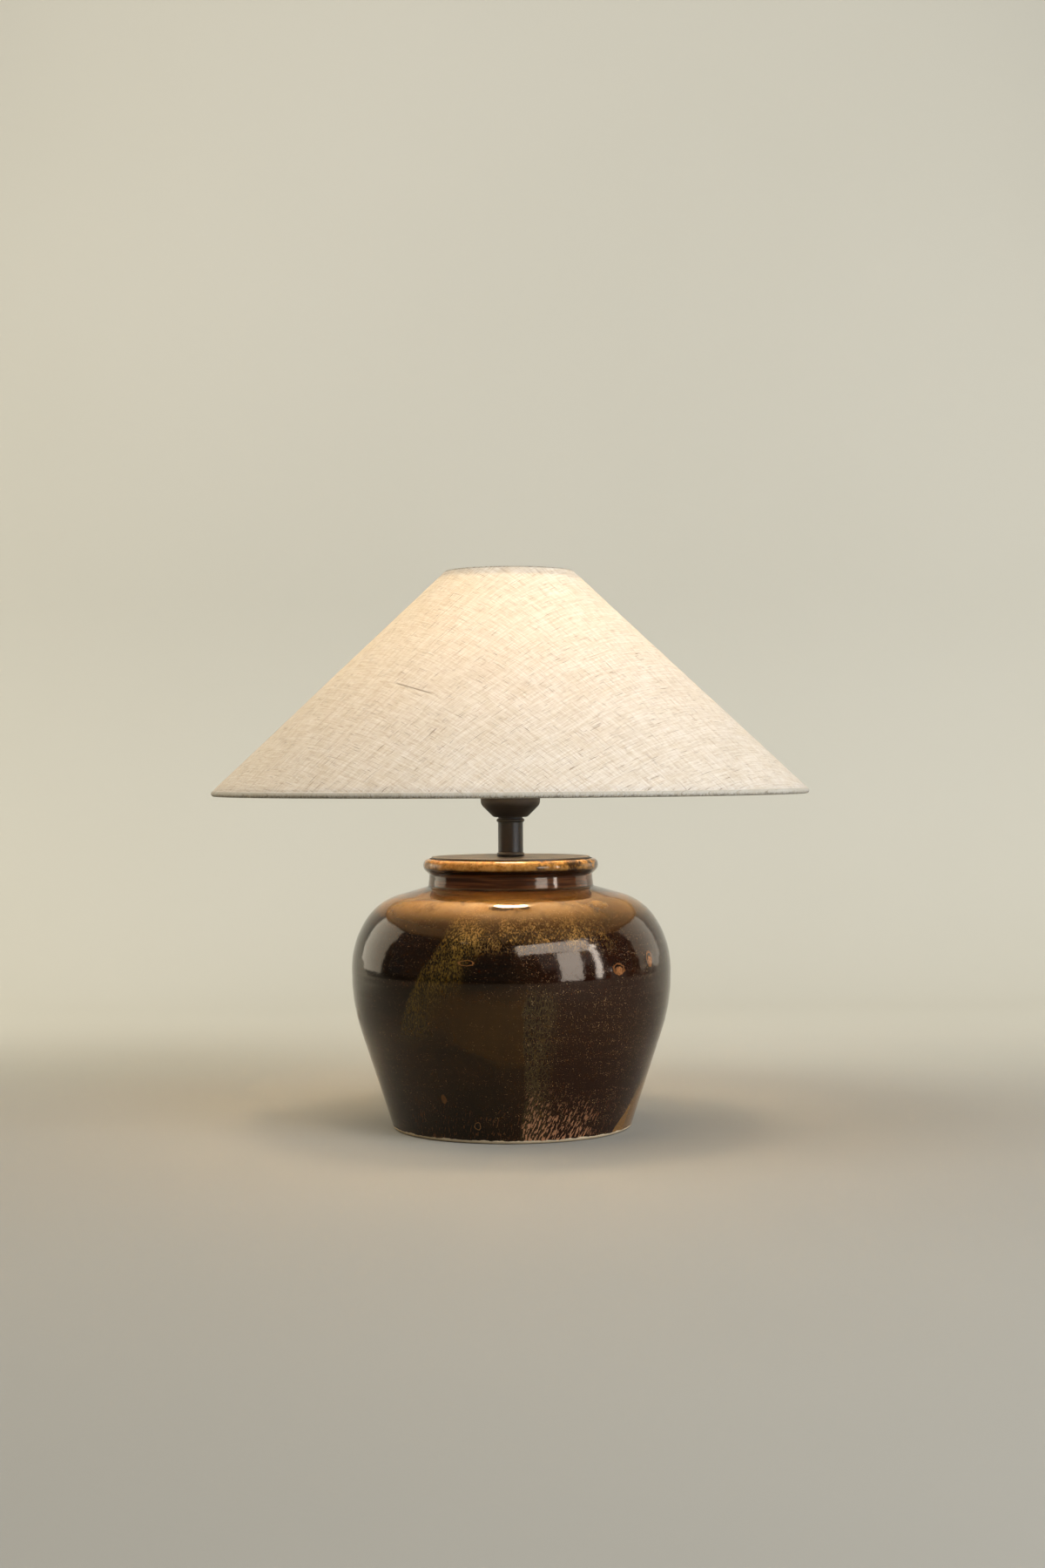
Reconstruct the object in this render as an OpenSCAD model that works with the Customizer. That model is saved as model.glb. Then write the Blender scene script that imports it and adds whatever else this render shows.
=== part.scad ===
// Jar table lamp: a glazed stoneware jar that carries a screw lampholder and a wide cone shade.
// Millimetres, +Z up, the origin on the surface that the jar stands on, at the lamp's axis.
// The back of the lamp, where the lead enters, is +Y.

/* [Jar] */
// Widest diameter of the jar
belly_d = 268; // [244:1:300]
// Height at which the lower wall reaches the belly
belly_z = 127.8; // [112:0.1:150]
// Height of the upright band round the belly
belly_band = 5; // [2:0.5:12]
// Radius of the long curve below the belly
low_curve_r = 149.5; // [125:0.5:185]
// Lean of the straight wall above the foot, in degrees
wall_lean = 18.4; // [13:0.1:23]
// Radius of the curve above the belly
belly_curve_r = 75.7; // [64:0.1:90]
// Angle at which the curve above the belly turns into the shoulder
belly_curve_end = 34; // [26:1:42]
// Radius of the shoulder's curve
shoulder_r = 48.8; // [38:0.1:58]
// Angle at which the shoulder's curve ends
shoulder_end = 74.2; // [68:0.1:78]
// Thickness of the jar's wall
wall_t = 8; // [6:0.1:10]
// Diameter of the neck at its foot
neck_d = 138.6; // [132:0.1:146]
// Diameter of the neck under the lip
neck_top_d = 136.8; // [131:0.1:144]
// Height from the foot of the neck to the middle of the lip
neck_h = 17.6; // [13:0.1:26]
// Thickness of the neck's wall
neck_t = 6; // [4.5:0.1:7]
// Fillet between the neck and the shoulder
neck_fillet = 2.2; // [1:0.1:4]
// Outer diameter of the rolled lip
lip_d = 147.8; // [145:0.1:152]
// Radius of the lip's roll
lip_r = 5.6; // [5:0.1:7]
// Angle at which the underside of the lip leaves its roll
lip_under = 48; // [35:1:60]
// Radius of the lip's inner edge
lip_edge_r = 2.1; // [1:0.1:3]
// Width of the foot's rounded edge
foot_round_w = 3.9; // [2:0.1:6]
// Height of the foot's rounded edge
foot_round_h = 4; // [2:0.1:6]
// Width of the foot ring
foot_ring_w = 12; // [8:0.5:18]
// Depth of the hollow under the base
foot_hollow = 5; // [3:0.1:8]
// Thickness of the jar's floor
floor_t = 10; // [7:0.1:14]
// Radius of the corner between the wall and the floor inside
floor_corner = 16; // [8:0.5:24]

/* [Cord inlet] */
// Height of the hole for the lead, at the back
inlet_z = 26; // [22:0.5:45]
// Diameter of the hole drilled for the grommet
inlet_d = 12; // [10:0.1:16]
// Diameter of the grommet's bore
grommet_bore_d = 7.5; // [6:0.1:8]
// Diameter of the grommet's outer flange
grommet_flange_d = 19; // [18:0.1:24]
// Thickness of the grommet's outer flange
grommet_flange_t = 2; // [1.5:0.1:3]
// Diameter of the bead that holds the grommet inside
grommet_bead_d = 14.5; // [13:0.1:17]
// Thickness of the bead that holds the grommet inside
grommet_bead_t = 2; // [1.5:0.1:3]

/* [Cover and clamp] */
// Diameter of the cover plate
plate_d = 133.4; // [131:0.1:136]
// Thickness of the cover plate
plate_t = 1.5; // [1:0.1:3]
// Thickness of the disc that centres the plate in the neck
disc_t = 8; // [5:0.5:12]
// Length of the clamp bar
bar_l = 150; // [142:1:160]
// Width of the clamp bar
bar_w = 20; // [16:0.5:26]
// Thickness of the clamp bar
bar_t = 4; // [3:0.1:6]
// Height of the clamp pads at their middle
pad_h = 6; // [5:0.1:9]
// Length of the clamp pads along the bar
pad_l = 11; // [8:0.5:13]
// Width of the clamp pads
pad_w = 18; // [14:0.5:26]
// Diameter of the washer on the clamp bar
washer_d = 22; // [19:0.5:26]
// Thickness of the washer on the clamp bar
washer_t = 1.6; // [1:0.1:2.5]
// Width across flats of the clamp nut
nut_af = 17; // [15:0.1:19]
// Thickness of the clamp nut
nut_t = 6; // [4:0.1:9]
// Outer diameter of the threaded tube
tube_d = 10; // [8:0.1:12]
// Bore of the threaded tube
tube_bore_d = 7.6; // [5:0.1:7.8]
// Length of thread that shows under the nut
tube_tail = 5; // [2:0.5:12]

/* [Pole] */
// Diameter of the pole
pole_d = 21; // [17:0.1:24]
// Wall of the pole
pole_wall = 1.5; // [1:0.1:2.5]
// Length of the pole between its rings
pole_h = 25.2; // [18:0.1:60]
// Diameter of the two rings at the ends of the pole
ring_d = 23.5; // [21.5:0.1:28]
// Height of the lower ring
low_ring_h = 3.6; // [2.5:0.1:6]
// Height of the upper ring
up_ring_h = 3.3; // [2.5:0.1:6]
// Height of the plain seat on top of the upper ring
seat_h = 1.1; // [0.5:0.1:3]
// Diameter of the plain seat on top of the upper ring
seat_d = 20.5; // [16:0.1:21.5]

/* [Cup] */
// Diameter of the cup
cup_d = 50; // [46:0.1:54]
// Diameter of the cup's flat floor, up to where its flare begins
cup_floor_d = 28.5; // [27:0.1:32]
// Height of the cup
cup_h = 27; // [22:0.1:27]
// Thickness of the cup
cup_t = 1; // [0.8:0.1:1.5]
// Radius between the cup's floor and its flare
cup_floor_r = 3; // [2:0.1:5]
// Radius between the cup's flare and its side
cup_side_r = 7; // [4:0.1:10]

/* [Lampholder] */
// Diameter of the lampholder's dome
dome_d = 41; // [40:0.1:43]
// Diameter of the dome's flat foot
dome_foot_d = 24; // [21:0.1:24.5]
// Height of the dome
dome_h = 21.4; // [18.5:0.1:24]
// Wall of the dome
dome_wall = 2; // [1.6:0.1:2.4]
// Height of the ledge in the dome that carries the contact block
ledge_h = 11.4; // [10:0.1:13]
// Width of the ledge under the rim of the contact block
ledge_w = 1; // [0.8:0.1:2]
// Diameter of the boss that takes the threaded tube
boss_d = 16; // [13:0.1:17]
// Height of the boss above the dome's floor
boss_h = 3.9; // [3:0.1:5]
// Diameter of the contact block
block_d = 31; // [29:0.1:31.4]
// Height of the contact block
block_h = 14; // [12:0.1:16]
// Diameter of the boss round the centre contact
block_boss_d = 18; // [14:0.1:18.5]
// Height of the boss round the centre contact
block_boss_h = 3.5; // [2:0.1:4]
// Diameter of the threaded skirt
skirt_d = 39.5; // [38:0.1:40.5]
// Length of the threaded skirt above the dome
skirt_h = 35; // [31:0.1:40]
// Length of the skirt's spigot in the dome
spigot_h = 6; // [3:0.1:6.5]
// Wall of the skirt's spigot
spigot_wall = 2.6; // [2:0.1:2.8]
// Chamfer at the mouth of the skirt
mouth_chamfer = 1.5; // [0.5:0.1:2.5]

/* [Contacts] */
// Diameter of the centre contact's head
contact_d = 9; // [7:0.1:10]
// Height of the centre contact's head
contact_h = 7; // [6:0.1:8]
// Height that the centre contact stands proud of its boss, with the bulb screwed home
contact_proud = 2.5; // [1.5:0.1:3]
// Diameter of the centre contact's stem
stem_d = 4.4; // [3:0.1:5]
// Thickness of the clip on the stem
clip_t = 1; // [0.6:0.1:1.2]
// Diameter of the clip on the stem
clip_d = 8; // [6.5:0.1:8.4]
// Free travel of the centre contact
contact_travel = 2.1; // [1.5:0.1:2.4]
// Thickness of the floor that the stem runs through
web_t = 2.6; // [2:0.1:3]
// Diameter of the contact spring's wire
spring_wire = 0.8; // [0.6:0.05:0.9]
// Number of turns of the contact spring
spring_turns = 4; // [3:1:5]
// Width of the side contact
side_w = 4; // [3:0.1:5]
// Thickness of the side contact
side_t = 0.6; // [0.4:0.05:0.8]
// Gap between the side contact and the bulb's shell at rest
side_gap = 0.4; // [0.3:0.05:0.8]
// Diameter of the terminal screws' heads
screw_head_d = 5.5; // [4:0.1:6]
// Height of the terminal screws' heads
screw_head_h = 2; // [1.5:0.1:2.4]
// Diameter of the terminal screws
screw_d = 3; // [2:0.1:3.5]
// Length of the terminal screws in the block
screw_l = 8; // [5:0.1:9]

/* [Shade rings] */
// Height of the fitter's seat above the dome
fitter_seat = 10; // [8:0.1:14]
// Diameter of the two shade rings
shade_ring_d = 57; // [54:0.1:58.5]
// Thickness of the shade rings' flanges
shade_ring_flange = 2; // [1.5:0.1:3]
// Diameter of the shade rings' hubs
shade_ring_hub_d = 46; // [44:0.1:50]
// Height of the lower shade ring under its seat
low_shade_ring_h = 5; // [3.5:0.1:7]
// Height of the upper shade ring
up_shade_ring_h = 8; // [5:0.1:10]
// Number of finger notches round the upper shade ring
notches = 12; // [6:1:18]
// Radius of the finger notches
notch_r = 3; // [2:0.1:3.5]

/* [Bulb] */
// Diameter of the bulb's screw cap over its thread
cap_d = 26.4; // [26:0.1:27]
// Pitch of the bulb's thread
cap_pitch = 3.63; // [3:0.01:3.8]
// Depth of the bulb's thread
thread_depth = 1.1; // [0.8:0.05:1.3]
// Turns of thread on the bulb's cap
cap_turns = 5; // [4:1:5]
// Thickness of the cap's metal
cap_t = 0.35; // [0.25:0.05:0.6]
// Height of the bulb's cap from its tip
cap_h = 26.5; // [25.5:0.1:28]
// Diameter of the contact on the bulb's tip
tip_d = 9; // [7:0.1:10]
// Height of the contact on the bulb's tip
tip_h = 1.4; // [1:0.1:2]
// Height of the black insulator above the tip
insulator_h = 3.2; // [2.4:0.1:4]
// Diameter of the bulb's globe
globe_d = 60; // [50:1:64]
// Whole length of the bulb, from tip to crown
bulb_l = 108; // [100:1:120]
// Diameter of the bulb's neck above the cap
bulb_neck_d = 27.6; // [26:0.1:30]
// Angle at which the globe runs into the neck's cone
globe_end = 36; // [28:1:44]
// Radius of the curve from the cone to the neck
neck_curve_r = 12; // [8:0.5:20]
// Thickness of the bulb's glass
glass_t = 1; // [0.6:0.1:1.5]
// Number of light filaments in the bulb
filaments = 4; // [2:1:6]
// Diameter of a light filament
filament_d = 1.6; // [1:0.1:2.5]
// Length of a light filament
filament_l = 34; // [24:1:38]
// Diameter of the glass stem that carries the filaments
stem_tube_d = 9; // [6:0.1:11]
// Round between the stem's flare and its tube, radius
stem_round_r = 4; // [2:0.5:8]
// Height of that round's centre over the foot of the glass
stem_round_h = 6; // [4:0.5:12]

/* [Shade] */
// Outer diameter of the shade at its hem
shade_bottom_d = 500; // [440:5:560]
// Outer diameter of the shade at its top edge
shade_top_d = 110; // [104:1:130]
// Height of the shade
shade_h = 188.2; // [170:0.1:220]
// Height of the fitter's seat above the shade's hem
fitter_rise = 13.7; // [4:0.1:40]
// Diameter of the wire in the hem
hem_wire_d = 4; // [3:0.1:5]
// Diameter of the wire in the top edge
top_wire_d = 3.4; // [2.5:0.1:4]
// Thickness of the linen cover
linen_t = 0.6; // [0.4:0.05:0.8]
// Thickness of the stiff lining under the linen
lining_t = 0.5; // [0.3:0.05:0.8]
// Width of linen turned in behind the wires
turn_in = 9; // [6:0.5:14]
// Bore of the fitter ring
fitter_bore_d = 42; // [41:0.1:44]
// Outer diameter of the fitter ring
fitter_d = 62; // [60:0.5:68]
// Thickness of the fitter ring
fitter_t = 2; // [1.5:0.1:3]
// Number of arms in the shade's frame
arms = 3; // [3:1:4]
// Diameter of the arms' wire
arm_d = 4; // [3:0.1:5]
// Length of an arm's straight foot beside the fitter ring
arm_foot = 2; // [1:0.5:6]
// Bend of an arm at its foot, to the middle of the wire
arm_bend = 8; // [5:0.5:12]

/* [Hidden] */
$fn = 96;

// Clearances
slip = 0.05;       // between pieces that slide into or onto each other
screw_gap = 0.1;   // between the plain cores of two threads
hole_gap = 0.2;    // round the threaded tube where it passes through a plain hole
disc_gap = 1.2;    // round the centring disc in the rough neck
bead_gap = 0.4;    // between the grommet's inner bead and the curved wall
arm_gap = 0.4;     // round an arm where it passes through the linen
bend_swell = 0.04; // by which an arm's bend is thicker than its straight ends
bend_lap = 0.1;    // by which an arm's straight ends reach into its bend

// Plane geometry
function polar(c, r, a) = [c[0] + r * cos(a), c[1] + r * sin(a)];
function arc(c, r, a0, a1, n) = [for (i = [0 : n]) polar(c, r, a0 + (a1 - a0) * i / n)];
function flip(p) = [for (i = [len(p) - 1 : -1 : 0]) p[i]];
function unit(v) = v / norm(v);
function side(v) = [-v[1], v[0]];
function last(p) = p[len(p) - 1];
// Direction of a path at point i, from its neighbours
function heading(p, i) = unit(p[min(i + 1, len(p) - 1)] - p[max(i - 1, 0)]);
// A strip of thickness t along the path p
function strip(p, t) = concat(
    [for (i = [0 : len(p) - 1]) p[i] + side(heading(p, i)) * t / 2],
    flip([for (i = [0 : len(p) - 1]) p[i] - side(heading(p, i)) * t / 2]));

module turned(points) {
    rotate_extrude() polygon(points);
}

// Jar
belly_r = belly_d / 2;
low_c = [belly_r - low_curve_r, belly_z];
belly_c = [belly_r - belly_curve_r, belly_z + belly_band];
shoulder_c = polar(belly_c, belly_curve_r - shoulder_r, belly_curve_end);
lip_c_r = lip_d / 2 - lip_r;
neck_in_r = neck_top_d / 2 - neck_t;
// Side of the jar, t inside its outer face, from the straight wall's upper end to the shoulder's
function body_curve(t) = concat(
    arc(low_c, low_curve_r - t, -wall_lean, 0, 14),
    arc(belly_c, belly_curve_r - t, 0, belly_curve_end, 12),
    [for (i = [1 : 10])
        polar(shoulder_c, shoulder_r - t, belly_curve_end + (shoulder_end - belly_curve_end) * i / 10)]);
// Radius of the straight wall at height z, t inside its outer face
function wall_r(z, t) = body_curve(t)[0][0] - (body_curve(t)[0][1] - z) * tan(wall_lean);
// Height of the shoulder's straight top at radius r, t under its outer face
function shoulder_z(r, t) = last(body_curve(t))[1] + (last(body_curve(t))[0] - r) / tan(shoulder_end);
neck_z = shoulder_z(neck_d / 2, 0);
lip_z = neck_z + neck_h;
jar_top = lip_z + lip_r;
floor_z = foot_hollow + floor_t;
foot_r = wall_r(foot_round_h, 0);
foot_in_r = foot_r - foot_round_w - foot_ring_w;
fillet_c = [neck_d / 2 + neck_fillet,
    shoulder_z(neck_d / 2 + neck_fillet, 0) + neck_fillet / sin(shoulder_end)];
// Where the flat underside of the lip meets the neck
lip_low = polar([lip_c_r, lip_z], lip_r, -lip_under);
lip_join = [neck_top_d / 2, lip_low[1] - (lip_low[0] - neck_top_d / 2) / tan(lip_under)];
jar_outside = concat(
    [for (i = [0 : 6])
        [foot_r - foot_round_w * (1 - sin(15 * i)), foot_round_h * (1 - cos(15 * i))]],
    body_curve(0),
    arc(fillet_c, neck_fillet, shoulder_end + 180, 180, 6),
    [lip_join],
    arc([lip_c_r, lip_z], lip_r, -lip_under, 90, 14));
jar_inside = concat(
    arc([neck_in_r + lip_edge_r, jar_top - lip_edge_r], lip_edge_r, 90, 180, 5),
    [[neck_in_r, shoulder_z(neck_in_r, wall_t)]],
    flip(body_curve(wall_t)),
    [for (i = [0 : 6]) [
        wall_r(floor_z + floor_corner, wall_t) - floor_corner * (1 - cos(15 * i)),
        floor_z + floor_corner * (1 - sin(15 * i))]]);

// Puts its children at the inlet, with +Z along the hole's axis, out of the jar
module at_inlet() {
    translate([0, wall_r(inlet_z, 0), inlet_z]) rotate([-90 - wall_lean, 0, 0]) children();
}

module jar() {
    color("#2a160b") difference() {
        turned(concat(
            [[foot_in_r, 0]], jar_outside, jar_inside,
            [[0, floor_z], [0, foot_hollow], [foot_in_r, foot_hollow]]));
        at_inlet() translate([0, 0, -2 * wall_t]) cylinder(d = inlet_d, h = 3 * wall_t);
    }
}

module cord_grommet() {
    // The flange is cut to lie on the leaning wall, up to this height above the foot
    cone_top = inlet_z + grommet_flange_d;
    color("#1c1c1c") difference() {
        union() {
            difference() {
                at_inlet() translate([0, 0, -grommet_flange_t])
                    cylinder(d = grommet_flange_d, h = 2 * grommet_flange_t);
                cylinder(r1 = wall_r(0, 0), r2 = wall_r(cone_top, 0), h = cone_top);
            }
            at_inlet() {
                translate([0, 0, -wall_t - bead_gap]) cylinder(
                    d = inlet_d - 2 * slip, h = wall_t + bead_gap + grommet_flange_t);
                translate([0, 0, -wall_t - bead_gap - grommet_bead_t])
                    cylinder(d = grommet_bead_d, h = grommet_bead_t);
            }
        }
        at_inlet() translate([0, 0, -3 * wall_t]) cylinder(d = grommet_bore_d, h = 5 * wall_t);
    }
}

// Heights of the stack on the threaded tube
pad_r = bar_l / 2 - pad_l / 2;
bar_top = shoulder_z(pad_r, wall_t) - pad_h;
nut_z = bar_top - bar_t - washer_t - nut_t;
plate_top = jar_top + plate_t;
pole_z = plate_top + low_ring_h;
up_ring_z = pole_z + pole_h;
cup_z = up_ring_z + up_ring_h + seat_h;
dome_z = cup_z + cup_t;
dome_floor = 1.25 * dome_wall;
tube_z = nut_z - tube_tail;
tube_top = dome_z + dome_floor + boss_h;
tube_hole_d = tube_d + 2 * hole_gap;

module cover_plate() {
    edge = plate_t / 4;
    color("#1b1917") difference() {
        translate([0, 0, jar_top]) turned([
            [0, 0], [plate_d / 2 - edge, 0], [plate_d / 2, edge], [plate_d / 2, plate_t - edge],
            [plate_d / 2 - edge, plate_t], [0, plate_t]]);
        translate([0, 0, jar_top - 1]) cylinder(d = tube_hole_d, h = plate_t + 2);
    }
}

module centring_disc() {
    r = neck_in_r - disc_gap;
    edge = disc_t / 8;
    color("#8d6b45") difference() {
        translate([0, 0, jar_top - disc_t]) turned([
            [0, 0], [r - edge, 0], [r, edge], [r, disc_t], [0, disc_t]]);
        translate([0, 0, jar_top - disc_t - 1]) cylinder(d = tube_hole_d, h = disc_t + 2);
    }
}

module clamp_bar() {
    color("#a8a9ab") translate([0, 0, bar_top - bar_t]) difference() {
        intersection() {
            translate([-bar_l / 2, -bar_w / 2, 0]) cube([bar_l, bar_w, bar_t]);
            cylinder(d = bar_l, h = bar_t);
        }
        translate([0, 0, -1]) cylinder(d = tube_hole_d, h = bar_t + 2);
    }
}

module clamp_pads() {
    // The space under the shoulder, which shapes the tops of the pads
    r_out = bar_l / 2;
    under_shoulder = [
        [0, bar_top], [r_out, bar_top], [r_out, shoulder_z(r_out, wall_t) - slip],
        [neck_in_r, shoulder_z(neck_in_r, wall_t) - slip], [0, shoulder_z(neck_in_r, wall_t)]];
    color("#242424") intersection() {
        union() for (s = [-1, 1]) translate([s * pad_r, 0, bar_top + pad_h])
            cube([pad_l, min(pad_w, bar_w), 2 * pad_h], center = true);
        turned(under_shoulder);
    }
}

module clamp_washer() {
    color("#b9babc") translate([0, 0, nut_z + nut_t]) difference() {
        cylinder(d = washer_d, h = washer_t);
        translate([0, 0, -1]) cylinder(d = tube_hole_d, h = washer_t + 2);
    }
}

module clamp_nut() {
    corner_r = nut_af / 2 / cos(30);
    chamfer = corner_r - nut_af / 2;
    color("#b9babc") translate([0, 0, nut_z]) difference() {
        intersection() {
            cylinder(r = corner_r, h = nut_t, $fn = 6);
            turned([
                [0, 0], [nut_af / 2, 0], [corner_r, chamfer / 2],
                [corner_r, nut_t - chamfer / 2], [nut_af / 2, nut_t], [0, nut_t]]);
        }
        translate([0, 0, -1]) cylinder(d = tube_d + 2 * slip, h = nut_t + 2);
    }
}

module threaded_tube() {
    color("#c3b06a") translate([0, 0, tube_z]) difference() {
        cylinder(d = tube_d, h = tube_top - tube_z);
        translate([0, 0, -1]) cylinder(d = tube_bore_d, h = tube_top - tube_z + 2);
    }
}

// Ring with a round rim, its foot at the origin
module rim_ring(d, h) {
    turned(concat(
        [[tube_hole_d / 2, 0]], arc([d / 2 - h / 2, h / 2], h / 2, -90, 90, 12),
        [[tube_hole_d / 2, h]]));
}

module lower_pole_ring() {
    color("#1a1817") translate([0, 0, plate_top]) rim_ring(ring_d, low_ring_h);
}

module pole() {
    color("#1a1817") translate([0, 0, pole_z]) difference() {
        cylinder(d = pole_d, h = pole_h);
        translate([0, 0, -1]) cylinder(d = pole_d - 2 * pole_wall, h = pole_h + 2);
    }
}

module upper_pole_ring() {
    color("#1a1817") translate([0, 0, up_ring_z]) {
        difference() {
            union() {
                rim_ring(ring_d, up_ring_h);
                cylinder(d = seat_d, h = up_ring_h + seat_h);
            }
            translate([0, 0, -1]) cylinder(d = tube_hole_d, h = up_ring_h + seat_h + 2);
        }
    }
}

// Cup: its floor, a flare at 45 degrees and an upright side
cup_flare_h = (cup_d - cup_floor_d) / 2;
function cup_curve(t) = concat(
    arc([cup_floor_d / 2 - cup_floor_r * tan(22.5), cup_floor_r], cup_floor_r - t, -90, -45, 5),
    arc([cup_d / 2 - cup_side_r, cup_flare_h + cup_side_r * tan(22.5)], cup_side_r - t, -45, 0, 6));

module holder_cup() {
    color("#1d1a16") translate([0, 0, cup_z]) turned(concat(
        [[tube_hole_d / 2, 0]], cup_curve(0), [[cup_d / 2, cup_h], [cup_d / 2 - cup_t, cup_h]],
        flip(cup_curve(cup_t)), [[tube_hole_d / 2, cup_t]]));
}

// Lampholder
block_r = block_d / 2;
ledge_r = block_r - ledge_w;
dome_flare = dome_d / 2 - dome_foot_d / 2;
dome_in_r = dome_d / 2 - dome_wall;
// The flare's inner face, as the height at which it stands at radius r
function dome_in_z(r) = r - dome_foot_d / 2 + dome_wall / sin(45);

module holder_dome() {
    color("#161514") translate([0, 0, dome_z]) turned([
        [tube_d / 2 + slip, 0], [dome_foot_d / 2, 0], [dome_d / 2, dome_flare], [dome_d / 2, dome_h],
        [dome_in_r, dome_h], [dome_in_r, ledge_h], [ledge_r, ledge_h],
        [ledge_r, dome_in_z(ledge_r)], [dome_foot_d / 2 - dome_wall / sin(45) + dome_floor, dome_floor],
        [boss_d / 2, dome_floor], [boss_d / 2, dome_floor + boss_h],
        [tube_d / 2 + slip, dome_floor + boss_h]]);
}

block_z = dome_z + ledge_h;
block_top = block_z + block_h;
boss_top = block_top + block_boss_h;
contact_top = boss_top + contact_proud;
contact_bore_d = contact_d + 2 * slip;
// The stem's clip sits in a pocket, with its free travel above it
pocket_h = clip_t + contact_travel + 0.9;
web_z = block_z + pocket_h;
spring_z = web_z + web_t;
head_z = contact_top - contact_h;
screw_r = block_r - screw_head_d / 2 - ledge_w - slip;

module contact_block() {
    color("#e6e2d8") difference() {
        union() {
            translate([0, 0, block_z]) cylinder(d = block_d, h = block_h);
            translate([0, 0, block_z]) cylinder(d = block_boss_d, h = block_h + block_boss_h);
        }
        translate([0, 0, block_z - 1]) cylinder(d = contact_bore_d, h = pocket_h + 1);
        translate([0, 0, web_z - 1]) cylinder(d = stem_d + 2 * slip, h = web_t + 2);
        translate([0, 0, spring_z]) cylinder(d = contact_bore_d, h = boss_top - spring_z + 1);
        for (s = [-1, 1]) translate([s * screw_r, 0, block_z - 1])
            cylinder(d = screw_d + 2 * slip, h = screw_l + 1 + slip);
    }
}

module terminal_screws() {
    color("#c9a94f") for (s = [-1, 1]) translate([s * screw_r, 0, block_z]) difference() {
        union() {
            cylinder(d = screw_d, h = screw_l);
            translate([0, 0, -screw_head_h]) cylinder(d = screw_head_d, h = screw_head_h);
        }
        translate([-screw_head_d, -screw_head_h / 5, -screw_head_h - 1])
            cube([2 * screw_head_d, screw_head_h / 2.5, 1 + screw_head_h / 2]);
    }
}

bulb_z = contact_top + slip;
shell_low = tip_h - 0.2 + insulator_h - 0.4;
skirt_bore_r = cap_d / 2 + screw_gap;
skirt_z = dome_z + dome_h;
skirt_top = skirt_z + skirt_h;
spigot_r = dome_in_r - slip;

module side_contact() {
    out_r = sqrt(pow(skirt_bore_r - side_gap, 2) - pow(side_w / 2, 2));
    foot_r = block_boss_d / 2 + side_t / 2;
    top = bulb_z + shell_low - side_gap;
    color("#c9a94f") translate([0, -side_w / 2, block_top]) {
        translate([foot_r, 0, 0]) cube([out_r - foot_r, side_w, side_t]);
        translate([out_r - side_t, 0, 0]) cube([side_t, side_w, top - block_top]);
    }
}

// Closed-coil path of the contact spring, swept with a six-sided wire
spring_h = head_z - spring_z - spring_wire - 2 * slip;
spring_r = (contact_bore_d + stem_d) / 4;
spring_steps = 18;
spring_rings = spring_steps * spring_turns;
spring_points = [for (i = [0 : spring_rings]) for (k = [0 : 5])
    let (a = 360 * i / spring_steps, b = 60 * k, r = spring_r + spring_wire / 2 * cos(b))
        [r * cos(a), r * sin(a), spring_h * i / spring_rings + spring_wire / 2 * sin(b)]];
spring_faces = concat(
    [[for (k = [0 : 5]) k]],
    [for (i = [0 : spring_rings - 1]) for (k = [0 : 5])
        let (a = 6 * i + k, b = 6 * i + (k + 1) % 6) [a, a + 6, b]],
    [for (i = [0 : spring_rings - 1]) for (k = [0 : 5])
        let (a = 6 * i + k, b = 6 * i + (k + 1) % 6) [b, a + 6, b + 6]],
    [[for (k = [5 : -1 : 0]) 6 * spring_rings + k]]);

module contact_spring() {
    color("#9c9c9c") translate([0, 0, spring_z + spring_wire / 2 + slip])
        polyhedron(spring_points, spring_faces, convexity = 6);
}

module holder_skirt() {
    step_z = block_top - skirt_z;
    color("#161514") translate([0, 0, skirt_z]) turned([
        [spigot_r - spigot_wall, -spigot_h], [spigot_r, -spigot_h], [spigot_r, 0], [skirt_d / 2, 0],
        [skirt_d / 2, skirt_h], [skirt_bore_r + mouth_chamfer, skirt_h],
        [skirt_bore_r, skirt_h - mouth_chamfer], [skirt_bore_r, step_z],
        [block_r + slip, step_z], [block_r + slip, 0], [spigot_r - spigot_wall, 0]]);
}

// Shade rings and fitter
ring_bore_r = skirt_d / 2 + slip;
fitter_z = skirt_z + fitter_seat;
collar_r = fitter_bore_d / 2 - slip;
collar_h = 0.8 * fitter_t;
fitter_low = fitter_z + slip;

module lower_shade_ring() {
    color("#161514") translate([0, 0, fitter_z]) turned([
        [ring_bore_r, -low_shade_ring_h], [shade_ring_hub_d / 2, -low_shade_ring_h],
        [shade_ring_hub_d / 2, -shade_ring_flange], [shade_ring_d / 2, -shade_ring_flange],
        [shade_ring_d / 2, 0], [collar_r, 0], [collar_r, collar_h], [ring_bore_r, collar_h]]);
}

module upper_shade_ring() {
    color("#161514") translate([0, 0, fitter_low + fitter_t + slip]) difference() {
        turned([
            [ring_bore_r, 0], [shade_ring_d / 2, 0], [shade_ring_d / 2, shade_ring_flange],
            [shade_ring_hub_d / 2, shade_ring_flange], [shade_ring_hub_d / 2, up_shade_ring_h],
            [ring_bore_r, up_shade_ring_h]]);
        for (i = [0 : notches - 1]) rotate(360 * i / notches)
            translate([shade_ring_d / 2 + notch_r / 2, 0, -1])
                cylinder(r = notch_r, h = shade_ring_flange + 2);
    }
}

// Contacts that move with the bulb's tip
module centre_contact() {
    edge = contact_d / 9;
    stem_low = block_z + 0.4;
    color("#c9a94f") turned([
        [0, stem_low], [stem_d / 2, stem_low], [stem_d / 2, head_z], [contact_d / 2, head_z],
        [contact_d / 2, contact_top - edge], [contact_d / 2 - edge, contact_top], [0, contact_top]]);
}

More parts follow.
